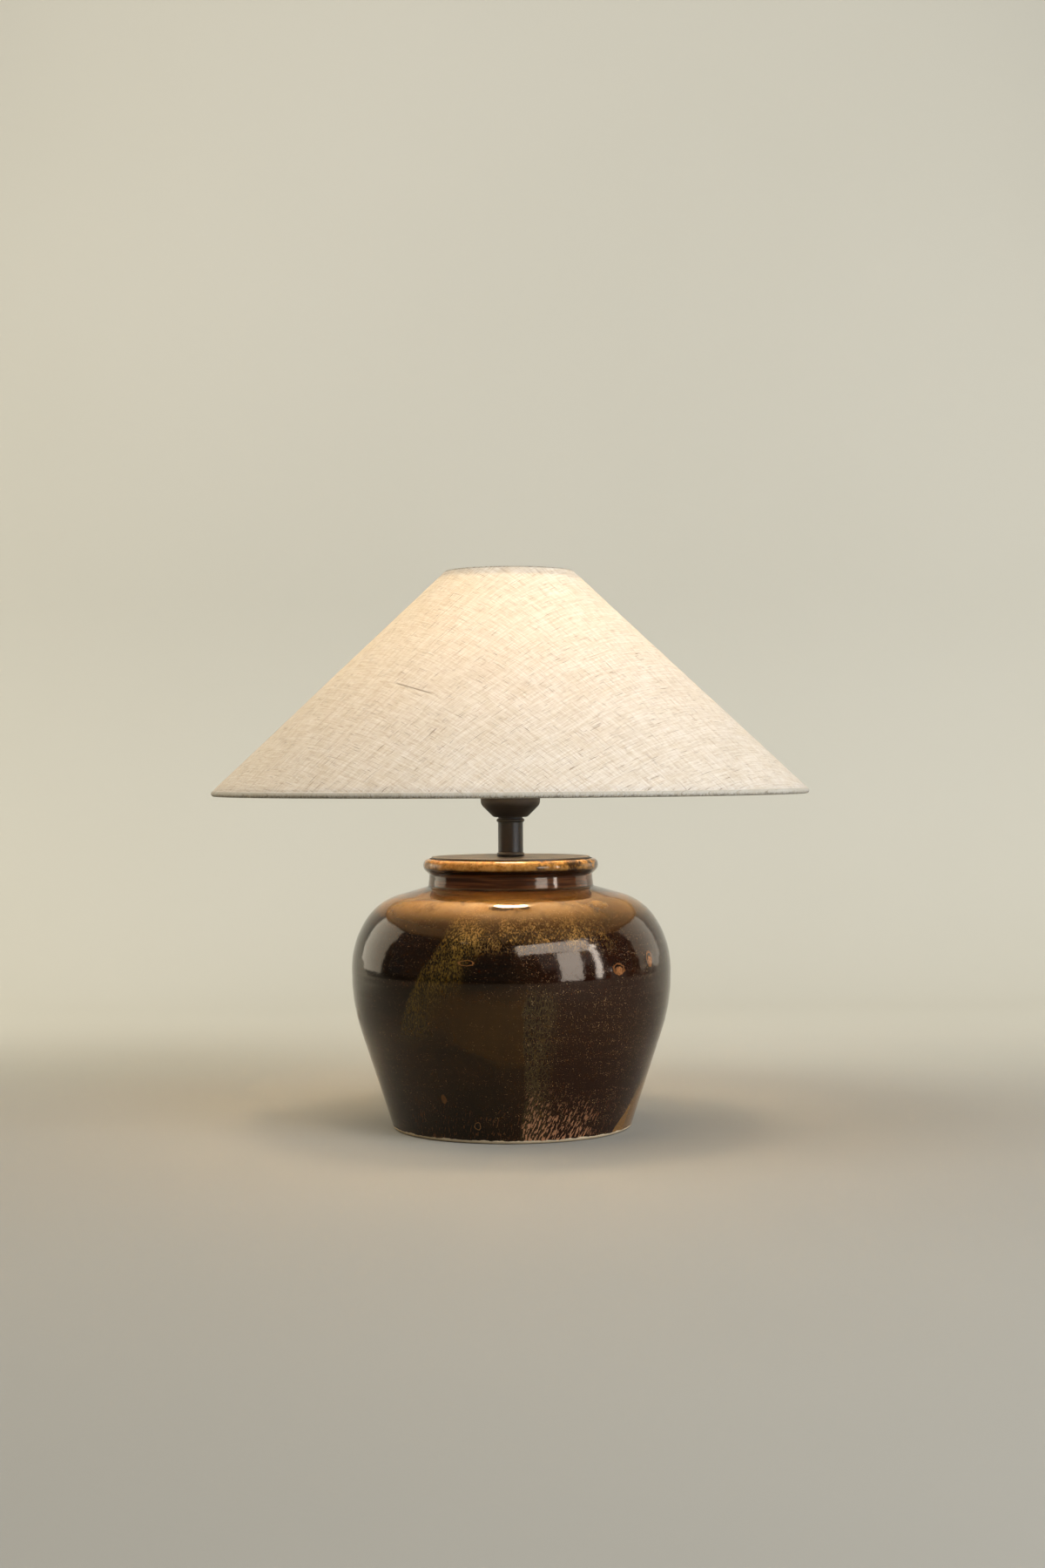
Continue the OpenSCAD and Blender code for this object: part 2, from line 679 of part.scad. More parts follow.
module contact_clip() {
    color("#9c9c9c") translate([0, 0, web_z - contact_travel - 0.1 - clip_t]) difference() {
        cylinder(d = clip_d, h = clip_t);
        translate([0, 0, -1]) cylinder(d = stem_d, h = clip_t + 2);
    }
}

// Bulb, measured from the tip of its contact
globe_r = globe_d / 2;
globe_c = [0, bulb_l - globe_r];
cap_r = cap_d / 2;
neck_r = bulb_neck_d / 2;
// The neck's curve is tangent to the cone below the globe and to the upright neck
neck_c_r = neck_r + neck_curve_r;
cone_start = polar(globe_c, globe_r, -globe_end);
cone_end_r = neck_c_r - neck_curve_r * cos(globe_end);
cone_end = [cone_end_r, cone_start[1] - (cone_start[0] - cone_end_r) / tan(globe_end)];
neck_c = [neck_c_r, cone_end[1] - neck_curve_r * sin(globe_end)];
glass_foot = cap_h - 4;
glass_foot_r = cap_r - thread_depth - cap_t - 0.4;
// Outline of the glass, t inside its outer face
function glass_curve(t) = concat(
    [[glass_foot_r - t, glass_foot], [glass_foot_r - t, cap_h - 0.2 + t / 2], [neck_r - t, cap_h + 1.2]],
    arc(neck_c, neck_curve_r + t, 180, 180 - globe_end, 6),
    arc(globe_c, globe_r - t, -globe_end, 90, 20));
thread_low = shell_low + 0.8;
thread_steps = 8;
// Rolled thread, drawn as round ridges one pitch apart
thread_curve = [for (i = [0 : cap_turns * thread_steps])
    [cap_r - thread_depth * (1 + cos(360 * i / thread_steps)) / 2,
        thread_low + cap_pitch * i / thread_steps]];
shell_in_r = cap_r - thread_depth - cap_t;

module bulb_tip() {
    color("#b8b5ae") translate([0, 0, bulb_z]) turned(concat(
        [for (i = [0 : 4]) [tip_d / 2 * sin(22.5 * i), (tip_h - 0.2) * (1 - cos(22.5 * i))]],
        [[0, tip_h - 0.2]]));
}

module bulb_insulator() {
    low = tip_h - 0.2;
    color("#101010") translate([0, 0, bulb_z]) turned([
        [0, low], [tip_d / 2 + 0.4, low], [shell_in_r - 0.3, low + insulator_h - 0.8],
        [shell_in_r - 0.3, low + insulator_h + 1], [0, low + insulator_h + 1]]);
}

module bulb_cap() {
    color("#c4c2bd") translate([0, 0, bulb_z]) turned(concat(
        [[shell_in_r, shell_low], [shell_in_r + cap_t, shell_low]], thread_curve,
        [[cap_r - thread_depth, cap_h - 1.6], [neck_r - 0.1, cap_h - 0.4], [neck_r - 0.1, cap_h],
        [neck_r - 0.1 - cap_t, cap_h], [shell_in_r, cap_h - 1.2]]));
}

module bulb_glass() {
    color("#fff4dc") translate([0, 0, bulb_z])
        turned(concat(glass_curve(0), flip(glass_curve(glass_t))));
}

stem_top = globe_c[1] - filament_l / 2;

module bulb_stem() {
    flare_r = glass_foot_r - glass_t - slip;
    color("#dfe6e8") translate([0, 0, bulb_z]) turned(concat(
        [[0, glass_foot], [flare_r, glass_foot], [flare_r, glass_foot + 1.5]],
        arc([stem_tube_d / 2 + stem_round_r, glass_foot + stem_round_h], stem_round_r, -150, -180, 3),
        [[stem_tube_d / 2, stem_top - stem_tube_d / 2]],
        arc([0, stem_top - stem_tube_d / 2], stem_tube_d / 2, 15, 90, 5)));
}

module light_filaments() {
    // Each filament leans out from the stem's top, held by the stem at its foot
    color("#ffd873") translate([0, 0, bulb_z])
        for (i = [0 : filaments - 1]) rotate(360 * i / filaments)
            translate([stem_tube_d / 2 + filament_d / 2 + slip, 0, stem_top - stem_tube_d])
                rotate([0, 7, 0]) cylinder(d = filament_d, h = filament_l);
}

// Shade. Each edge is a wire with linen rolled round it, and the cone is tangent to both rolls.
shade_z = fitter_z - fitter_rise;
hem_roll = hem_wire_d / 2 + linen_t + slip;
top_roll = top_wire_d / 2 + linen_t + slip;
hem_c = [shade_bottom_d / 2 - hem_roll, shade_z + hem_roll];
top_c = [shade_top_d / 2 - top_roll, shade_z + shade_h - top_roll];
rise = top_c - hem_c;
face_a = atan2(rise[1], rise[0]) - acos((hem_roll - top_roll) / norm(rise));
face_n = [cos(face_a), sin(face_a)];
face_up = [-sin(face_a), cos(face_a)];
hem_p = hem_c + hem_roll * face_n;
top_p = top_c + top_roll * face_n;
lining_d = linen_t + slip;
fold_d = lining_d + lining_t + slip + linen_t / 2;
// Linen's middle line round a wire of radius w: s runs along the cone from the wire,
// d is the depth under its outer face. It starts on the outer face and ends at the turned-in edge.
function edge_roll(w) =
    let (c = [0, w + linen_t + slip], r = w + slip + linen_t / 2, e = [turn_in, fold_d], v = e - c,
        end_a = atan2(v[1], v[0]) + acos(r / norm(v)) - 360)
    concat(arc(c, r, -90, end_a, 20), [e]);
function on_hem(q) = hem_p + q[0] * face_up - q[1] * face_n;
function on_top(q) = top_p - q[0] * face_up - q[1] * face_n;
linen_line = concat(
    flip([for (q = edge_roll(hem_wire_d / 2)) on_hem(q)]),
    [for (q = edge_roll(top_wire_d / 2)) on_top(q)]);
lining_hem_s = hem_wire_d / 2 + 2 * slip;
lining_top_s = top_wire_d / 2 + 2 * slip;

// Arm: a straight foot beside the fitter ring, a bend, and a straight run up to the top wire
arm_z = fitter_low + fitter_t / 2;
arm_r0 = fitter_d / 2;
arm_c = [arm_r0 + arm_foot, arm_z + arm_bend];
arm_v = top_c - arm_c;
arm_turn = atan2(arm_v[1], arm_v[0]) - acos(arm_bend / norm(arm_v)) + 90;
arm_run = sqrt(pow(norm(arm_v), 2) - pow(arm_bend, 2));

// Puts its children at each arm's azimuth, with X outwards; one arm is at the back
module each_arm() {
    for (i = [0 : arms - 1]) rotate(90 + 360 * i / arms) children();
}

// The straight run of an arm with wire diameter d, ending short of the top wire's middle by gap
module arm_straight(d, gap) {
    translate([arm_c[0], 0, arm_c[1]]) rotate([0, 90 - arm_turn, 0])
        translate([arm_bend, 0, -bend_lap]) cylinder(d = d, h = arm_run + bend_lap - gap, $fn = 48);
}

module spider_arms() {
    color("#e9e7e2") each_arm() {
        translate([arm_r0 + slip, 0, arm_z]) rotate([0, 90, 0])
            cylinder(d = arm_d, h = arm_foot + bend_lap - slip, $fn = 48);
        translate([arm_c[0], 0, arm_c[1]]) rotate([90, 0, 0]) rotate([0, 0, -90])
            rotate_extrude(angle = arm_turn) translate([arm_bend, 0])
                circle(d = arm_d + bend_swell, $fn = 48);
        arm_straight(arm_d, top_wire_d / 2 + slip);
    }
}

module fitter_ring() {
    color("#e9e7e2") translate([0, 0, fitter_low]) difference() {
        cylinder(d = fitter_d, h = fitter_t);
        translate([0, 0, -1]) cylinder(d = fitter_bore_d, h = fitter_t + 2);
    }
}

module wire_ring(c, d) {
    rotate_extrude() translate(c) circle(d = d, $fn = 48);
}

module top_wire() {
    color("#e9e7e2") wire_ring(top_c, top_wire_d);
}

module hem_wire() {
    color("#e9e7e2") wire_ring(hem_c, hem_wire_d);
}

module shade_lining() {
    color("#f6f2e8") difference() {
        turned([
            on_hem([lining_hem_s, lining_d]), on_top([lining_top_s, lining_d]),
            on_top([lining_top_s, lining_d + lining_t]), on_hem([lining_hem_s, lining_d + lining_t])]);
        each_arm() arm_straight(arm_d + 2 * arm_gap, 0);
    }
}

module shade_linen() {
    color("#e6d9c2") difference() {
        turned(strip(linen_line, linen_t));
        each_arm() arm_straight(arm_d + 2 * arm_gap, 0);
    }
}

jar();
cord_grommet();
cover_plate();
centring_disc();
clamp_bar();
clamp_pads();
clamp_washer();
clamp_nut();
threaded_tube();
lower_pole_ring();
pole();
upper_pole_ring();
holder_cup();
holder_dome();
contact_block();
terminal_screws();
side_contact();
contact_spring();
holder_skirt();
lower_shade_ring();
upper_shade_ring();
centre_contact();
contact_clip();
bulb_tip();
bulb_insulator();
bulb_cap();
bulb_glass();
bulb_stem();
light_filaments();
fitter_ring();
spider_arms();
top_wire();
hem_wire();
shade_lining();
shade_linen();
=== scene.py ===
"""Jar table lamp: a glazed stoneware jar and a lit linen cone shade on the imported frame."""
import math

import bmesh
import bpy
import numpy as np
from mathutils import Matrix, Vector


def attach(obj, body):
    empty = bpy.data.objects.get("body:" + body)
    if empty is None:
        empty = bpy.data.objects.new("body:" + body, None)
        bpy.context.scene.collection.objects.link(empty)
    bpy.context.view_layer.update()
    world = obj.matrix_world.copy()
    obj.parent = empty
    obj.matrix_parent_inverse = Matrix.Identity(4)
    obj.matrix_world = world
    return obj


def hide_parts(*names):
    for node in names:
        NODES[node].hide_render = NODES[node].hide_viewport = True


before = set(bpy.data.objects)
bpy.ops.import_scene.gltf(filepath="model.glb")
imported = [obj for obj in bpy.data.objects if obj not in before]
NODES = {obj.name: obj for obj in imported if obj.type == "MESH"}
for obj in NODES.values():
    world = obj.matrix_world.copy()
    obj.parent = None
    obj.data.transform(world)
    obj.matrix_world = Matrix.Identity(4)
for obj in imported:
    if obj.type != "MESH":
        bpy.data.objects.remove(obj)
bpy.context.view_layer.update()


# Camera: a long lens at the height of the lampholder, in front, rolled a third of a degree
def make_camera():
    place, pitch, roll = (0.0103, -1.960, 0.302), math.radians(0.43), math.radians(-0.35)
    ahead = Vector((0, math.cos(pitch), -math.sin(pitch)))
    level = Vector((1, 0, 0))
    above = level.cross(ahead)
    right = level * math.cos(roll) + above * math.sin(roll)
    up = above * math.cos(roll) - level * math.sin(roll)
    data = bpy.data.cameras.new("camera")
    data.lens, data.sensor_width, data.sensor_fit = 53.5, 36, "AUTO"
    data.clip_start, data.clip_end = 0.05, 50
    cam = bpy.data.objects.new("camera", data)
    turn = Matrix((right, up, -ahead)).transposed().to_4x4()
    cam.matrix_world = Matrix.Translation(place) @ turn
    bpy.context.scene.collection.objects.link(cam)
    bpy.context.scene.camera = cam


make_camera()
bpy.context.scene.view_settings.view_transform = "Standard"


# Node building. A value may be a number, a tuple or another node's output.
def srgb(r, g, b):
    return tuple(
        (c / 255 / 12.92 if c <= 10 else ((c / 255 + 0.055) / 1.055) ** 2.4) for c in (r, g, b)) + (1,)


class Shader:
    def __init__(self, name):
        self.mat = bpy.data.materials.new(name)
        self.mat.use_nodes = True
        self.tree = self.mat.node_tree
        self.tree.nodes.clear()
        self.out = self.tree.nodes.new("ShaderNodeOutputMaterial")
        coords = self.tree.nodes.new("ShaderNodeTexCoord").outputs["Object"]
        self.mm = self.vec("SCALE", coords, scale=1000)
        self.x, self.y, self.z = self.node("ShaderNodeSeparateXYZ", {"Vector": self.mm}).outputs

    def node(self, kind, ins=(), **props):
        n = self.tree.nodes.new(kind)
        for k, v in props.items():
            setattr(n, k, v)
        for k, v in dict(ins).items():
            if isinstance(v, bpy.types.NodeSocket):
                self.tree.links.new(v, n.inputs[k])
            else:
                n.inputs[k].default_value = v
        return n

    def vec(self, op, a, b=None, scale=None):
        n = self.node("ShaderNodeVectorMath", {0: a}, operation=op)
        if b is not None:
            if isinstance(b, bpy.types.NodeSocket):
                self.tree.links.new(b, n.inputs[1])
            else:
                n.inputs[1].default_value = b
        if scale is not None:
            n.inputs["Scale"].default_value = scale
        return n.outputs[0]

    def math(self, op, a, b=0.0):
        return self.node("ShaderNodeMath", {0: a, 1: b}, operation=op).outputs[0]

    def add(self, a, b):
        return self.math("ADD", a, b)

    def mul(self, a, b):
        return self.math("MULTIPLY", a, b)

    def join(self, x, y, z):
        return self.node("ShaderNodeCombineXYZ", {"X": x, "Y": y, "Z": z}).outputs[0]

    def step(self, v, lo, hi):
        """0 below lo and 1 above hi, smooth between; lo above hi turns it round."""
        a, b = sorted((lo, hi))
        s = self.node("ShaderNodeMapRange", {"Value": v, "From Min": a, "From Max": b},
                      interpolation_type="SMOOTHSTEP").outputs[0]
        return self.math("SUBTRACT", 1.0, s) if lo > hi else s

    def noise(self, size, detail=2.0, rough=0.5, at=None, stretch=None):
        """Noise of about the given feature size in mm, 0 to 1 around 0.5."""
        at = self.mm if at is None else at
        if stretch is not None:
            at = self.vec("MULTIPLY", at, stretch)
        return self.node("ShaderNodeTexNoise", {
            "Vector": at, "Scale": 1.0 / size, "Detail": detail, "Roughness": rough}).outputs[0]

    def cracks(self, size, stretch):
        """Distance to the nearest edge of a net of cells of about the given size in mm."""
        at = self.vec("MULTIPLY", self.mm, stretch)
        return self.node("ShaderNodeTexVoronoi", {"Vector": at, "Scale": 1.0 / size},
                         feature="DISTANCE_TO_EDGE").outputs[0]

    def mix(self, f, a, b, blend="MIX"):
        n = self.node("ShaderNodeMix", data_type="RGBA", blend_type=blend)
        for i, v in ((0, f), (6, a), (7, b)):
            if isinstance(v, bpy.types.NodeSocket):
                self.tree.links.new(v, n.inputs[i])
            else:
                n.inputs[i].default_value = v
        return n.outputs[2]

    def bump(self, height, mm, strength=1.0, normal=None):
        ins = {"Height": height, "Distance": mm / 1000, "Strength": strength}
        if normal is not None:
            ins["Normal"] = normal
        return self.node("ShaderNodeBump", ins).outputs[0]

    def principled(self, **ins):
        ins = {k.replace("_", " "): v for k, v in ins.items()}
        return self.node("ShaderNodeBsdfPrincipled", ins).outputs[0]

    def finish(self, surface):
        self.tree.links.new(surface, self.out.inputs["Surface"])
        return self.mat


# Stoneware glaze. Places round the belly are in mm of arc from the front, positive to the right.
AROUND = 125.0


def glaze():
    s = Shader("iron_glaze")
    phi = s.math("ARCTAN2", s.x, s.mul(s.y, -1.0))
    warp_a = s.math("SUBTRACT", s.noise(26, 3, 0.55), 0.5)
    warp_b = s.math("SUBTRACT", s.noise(24, 3, 0.55, at=s.vec("ADD", s.mm, (90, 40, 70))), 0.5)
    arc_mm = s.mul(phi, AROUND)
    u = s.add(arc_mm, s.mul(warp_a, 16.0))
    z = s.add(s.z, s.mul(warp_b, 16.0))
    # Vertical runs, fine and coarse, and level lines from the throwing
    runs = s.noise(2.6, 3, 0.6, stretch=(1, 1, 0.16))
    broad = s.noise(15, 3, 0.6, stretch=(1, 1, 0.3))
    level = s.noise(3.4, 2, 0.5, stretch=(0.06, 0.06, 1))
    cloud = s.noise(48, 4, 0.6)
    base = s.mix(s.step(cloud, 0.38, 0.66), srgb(8, 3, 1), srgb(27, 12, 2))
    base = s.mix(s.mul(s.step(u, -6, 40), 0.85), base, srgb(27, 6, 1))
    base = s.mix(s.mul(s.step(level, 0.44, 0.66), s.add(s.mul(broad, 0.3), 0.03)), base, srgb(44, 17, 4))

    def lay(mask, colour, by=1.0):
        return s.mix(s.mul(mask, by), base, colour)

    def span(v, a, b, c, d):
        return s.mul(s.step(v, a, b), s.step(v, d, c))

    # Olive pour that runs down to the left of the front, and its like on the back
    def pour(shift, lean, low):
        left = s.add(s.mul(s.math("SUBTRACT", s.z, 185.0), lean), shift)
        d = s.math("SUBTRACT", u, left)
        edge = span(d, -1.5, 3, 16, 46)
        return s.mul(edge, s.step(z, low, low + 34))

    streak = s.step(s.add(s.mul(runs, 0.7), s.mul(broad, 0.3)), 0.36, 0.6)
    grain = s.noise(1.15, 3, 0.65, stretch=(1, 1, 0.45))
    fleece = s.step(s.add(s.mul(grain, 0.75), s.mul(broad, 0.25)), 0.45, 0.6)
    olive = pour(-46.0, 0.55, 72)
    base = lay(olive, srgb(36, 27, 7), 0.8)
    wool = s.mix(s.step(s.z, 100, 180), srgb(88, 70, 24), srgb(146, 112, 46))
    base = lay(s.mul(olive, fleece), wool, 0.5)
    base = lay(s.mul(pour(235.0, -0.3, 60), streak), srgb(96, 72, 30), 0.6)
    base = lay(s.mul(pour(-290.0, 0.25, 90), streak), srgb(104, 76, 34), 0.6)
    # Thick olive patch at the middle, with a crisp right edge
    low_edge = s.add(62.0, s.mul(s.math("MAXIMUM", s.mul(s.add(u, 10.0), -1.0), 0.0), 0.6))
    patch = s.mul(span(u, -84, -40, 10, 13), s.mul(
        s.step(s.math("SUBTRACT", z, low_edge), -2, 6), s.step(z, 136, 108)))
    base = lay(patch, s.mix(broad, srgb(36, 20, 2), srgb(55, 34, 5)), 0.72)
    # Second pour to the right: its left edge, then greenish crackle beside it
    right = s.step(u, 9, 13)
    crackle = s.cracks(3.2, (1, 1, 0.55))
    beside = s.mul(span(u, 9, 13, 24, 40), s.step(z, 134, 112))
    web = s.math("MAXIMUM", s.mul(s.step(crackle, 0.09, 0.02), 0.7), s.mul(fleece, 0.6))
    base = lay(s.mul(beside, web), srgb(88, 76, 44), 0.45)
    rain = s.mul(span(s.z, 150, 168, 178, 186), span(u, -60, -45, 60, 100))
    base = lay(s.mul(rain, s.mul(fleece, streak)), srgb(186, 144, 76), 0.5)
    # Thin golden glaze over the shoulder, its paler upper band lightened partly as a painted reflection of
    # the lit shade's inside
    gold = s.step(s.add(s.z, s.mul(warp_b, 5.0)), 164, 184)
    # painted reflection: the paler band stands in partly for the lit inside of the shade mirrored in the
    # shoulder
    pale = s.mul(s.step(s.z, 176, 194), s.add(s.mul(s.step(u, 40, -60), 0.35), 0.65))
    pale = s.mul(pale, s.step(s.add(cloud, s.mul(broad, 0.5)), 0.5, 0.8))
    base = lay(gold, s.mix(pale, srgb(60, 38, 12), srgb(146, 110, 50)), 0.74)
    # Painted reflection: a dark band just below the neck, where the shoulder mirrors the dark neck
    base = lay(s.step(s.z, 191, 197), srgb(62, 34, 14), 0.8)
    # Amber patch low on the right, where the dip line runs up to the side
    amber_line = s.add(114.0, s.mul(s.z, 0.95))
    amber = s.mul(s.step(s.math("SUBTRACT", u, amber_line), 0, 2.5), s.step(z, 52, 40))
    amber = s.mul(amber, s.step(u, 290, 250))
    base = lay(amber, s.mix(broad, srgb(84, 54, 20), srgb(126, 88, 40)), 0.9)
    # Long pinkish flecks where the glaze pooled and broke, low on the right
    tilt = s.join(s.add(arc_mm, s.mul(s.z, -0.4)), s.mul(s.z, 0.36), s.mul(s.y, 0.02))
    fleck = s.noise(2.1, 2.0, 0.6, at=tilt)
    pooled = s.mul(span(u, 9, 14, 70, 104), s.step(s.add(z, s.mul(u, 0.2)), 62, 14))
    fleck_mask = s.step(s.add(fleck, s.mul(pooled, 0.11)), 0.6, 0.68)
    base = lay(s.mul(pooled, fleck_mask), s.mix(grain, srgb(124, 78, 50), srgb(188, 138, 102)), 0.8)
    elsewhere = s.mul(s.step(z, 46, 8), s.step(s.add(fleck, 0.04), 0.62, 0.7))
    base = lay(elsewhere, srgb(120, 76, 44), 0.3)
    # Fine pale flecks all over, denser to the right and in the pours: partly specks in the glaze, partly
    # painted glints of pinholes
    amount = s.add(s.mul(right, 0.022), s.mul(s.step(cloud, 0.4, 0.6), 0.02))
    amount = s.add(amount, s.mul(s.step(level, 0.42, 0.62), 0.03))
    fleck_and_glint_mask = s.step(s.add(s.noise(0.9, 3, 0.72), amount), 0.665, 0.73)
    base = lay(fleck_and_glint_mask, s.mix(s.step(runs, 0.4, 0.6), srgb(124, 78, 34), srgb(214, 176, 114)), 0.5)

    # Burst blisters and a small ring; each blister's dark edge is set high, partly dark glaze and partly
    # painted shade on the crater's upper wall
    ragged = s.mul(s.math("SUBTRACT", s.noise(3.2, 3, 0.65), 0.5), 0.9)

    def spot(u0, z0, ru, rz, colour, by, ring=False):
        d = s.add(ragged, s.math("SQRT", s.add(
            s.math("POWER", s.math("DIVIDE", s.math("SUBTRACT", arc_mm, u0), ru), 2.0),
            s.math("POWER", s.math("DIVIDE", s.math("SUBTRACT", s.z, z0), rz), 2.0))))
        m = span(d, 0.68, 0.82, 0.9, 1.05) if ring else s.step(d, 1.1, 0.75)
        return lay(m, colour, by)

    burst = s.mix(s.step(grain, 0.35, 0.62), srgb(78, 42, 18), srgb(158, 104, 60))
    for u0, z0, ru, rz in ((88.0, 139.5, 5.2, 4.6), (126.0, 145.0, 4.0, 5.8), (-168.0, 96.0, 5.0, 4.0),
                           (262.0, 120.0, 5.5, 4.0)):
        # partly painted shade: the dark edge is shifted up over the crater
        base = spot(u0 - 0.8, z0 + 0.8, ru * 1.3, rz * 1.3, srgb(9, 4, 2), 0.9)
        base = spot(u0 + 0.3, z0 - 0.8, ru * 0.8, rz * 0.72, burst, 0.85)
        base = spot(u0, z0 + 0.4, ru * 1.15, rz * 1.1, srgb(140, 88, 46), 0.5, True)
    base = spot(-33.0, 147.5, 6.6, 2.4, srgb(140, 92, 50), 0.6, True)
    base = spot(-33.0, 15.0, 3.4, 3.4, srgb(120, 84, 46), 0.7, True)
    base = spot(-63.0, 36.0, 3.0, 4.0, srgb(96, 62, 26), 0.6)
    base = spot(-8.0, 189.2, 13.0, 2.1, srgb(44, 30, 12), 0.8)
    base = spot(13.0, 189.8, 6.0, 1.8, srgb(44, 30, 12), 0.8)

    # Neck and lip: brown in the waist, amber and worn thin on the roll, dark below it, partly dark glaze
    # and partly painted shade
    neck = s.step(s.z, 200.2, 202.4)
    base = s.mix(neck, base, s.mix(s.step(level, 0.4, 0.62), srgb(52, 28, 14), srgb(92, 55, 30)))
    joint = s.mul(s.step(s.z, 199.8, 200.8), s.step(s.z, 203.4, 202.4))
    # a dark line at the neck's foot, and painted shade with dark glaze under the lip's roll
    base = lay(s.math("MAXIMUM", joint, s.step(s.z, 213.0, 214.6)), srgb(26, 13, 7), 0.85)
    lip = s.step(s.add(s.z, s.mul(warp_b, 3.0)), 216.2, 218.4)
    patches = s.noise(16, 4, 0.62, at=s.join(s.mul(phi, 70.0), s.mul(s.z, 1.1), 0.0))
    bare = s.step(s.add(patches, s.mul(s.math("COSINE", s.add(phi, 0.75)), 0.08)), 0.38, 0.54)
    amber_lip = s.mix(s.step(s.noise(5, 3, 0.6), 0.35, 0.7), srgb(132, 92, 38), srgb(170, 128, 68))
    base = s.mix(lip, base, s.mix(bare, srgb(52, 32, 17), amber_lip))
    specks = s.step(s.noise(1.5, 2, 0.6), 0.62, 0.7)
    base = s.mix(s.mul(s.mul(lip, specks), 0.7), base, srgb(34, 20, 10))
    # Bare clay at the foot and inside
    inside = s.step(s.math("SQRT", s.add(s.mul(s.x, s.x), s.mul(s.y, s.y))), 64.5, 62.5)
    clay_edge = s.add(s.z, s.mul(s.math("SUBTRACT", s.noise(9, 3, 0.6), 0.5), 3.2))
    clay = s.math("MAXIMUM", s.step(clay_edge, 3.0, 2.3), s.mul(inside, s.step(s.z, 190.0, 198.0)))
    clay_colour = s.mix(s.noise(2.2, 4, 0.7), srgb(176, 152, 118), srgb(214, 196, 164))
    colour = s.mix(clay, base, clay_colour)
    rough = s.add(s.mul(clay, 0.75), s.add(s.mul(s.noise(20, 3, 0.6), 0.05), 0.05))
    rough = s.add(rough, s.mul(fleck_and_glint_mask, 0.08))
    peel = s.bump(s.noise(4.0, 3, 0.6), 0.055)
    grit = s.bump(s.mul(s.noise(0.9, 3, 0.7), clay), 0.25, normal=peel)
    pits = s.bump(s.mul(fleck_and_glint_mask, -1.0), 0.05, normal=grit)
    return s.finish(s.principled(
        Base_Color=colour, Roughness=rough, Normal=pits, IOR=1.5, Specular_IOR_Level=0.4,
        Specular_Tint=(1.0, 0.8, 0.6, 1)))


# The shade: a cone face that touches the rolls round both wires, in mm
HEM_C, HEM_W = np.array((247.35, 281.0063)), 2.0
TOP_C, TOP_W = np.array((52.65, 464.2063)), 1.7
LINEN_T, LINING_T, SLIP, TURN_IN = 0.6, 0.5, 0.05, 9.0
span_x, span_z = TOP_C - HEM_C
face_angle = math.atan2(span_z, span_x) - math.acos((HEM_W - TOP_W) / math.hypot(span_x, span_z))
FACE_N = np.array((math.cos(face_angle), math.sin(face_angle)))
FACE_UP = np.array((-math.sin(face_angle), math.cos(face_angle)))


# Linen: threads at 45 degrees to the slope at the front, laid out on the cone's flat development
THREAD_PAIR = 0.75


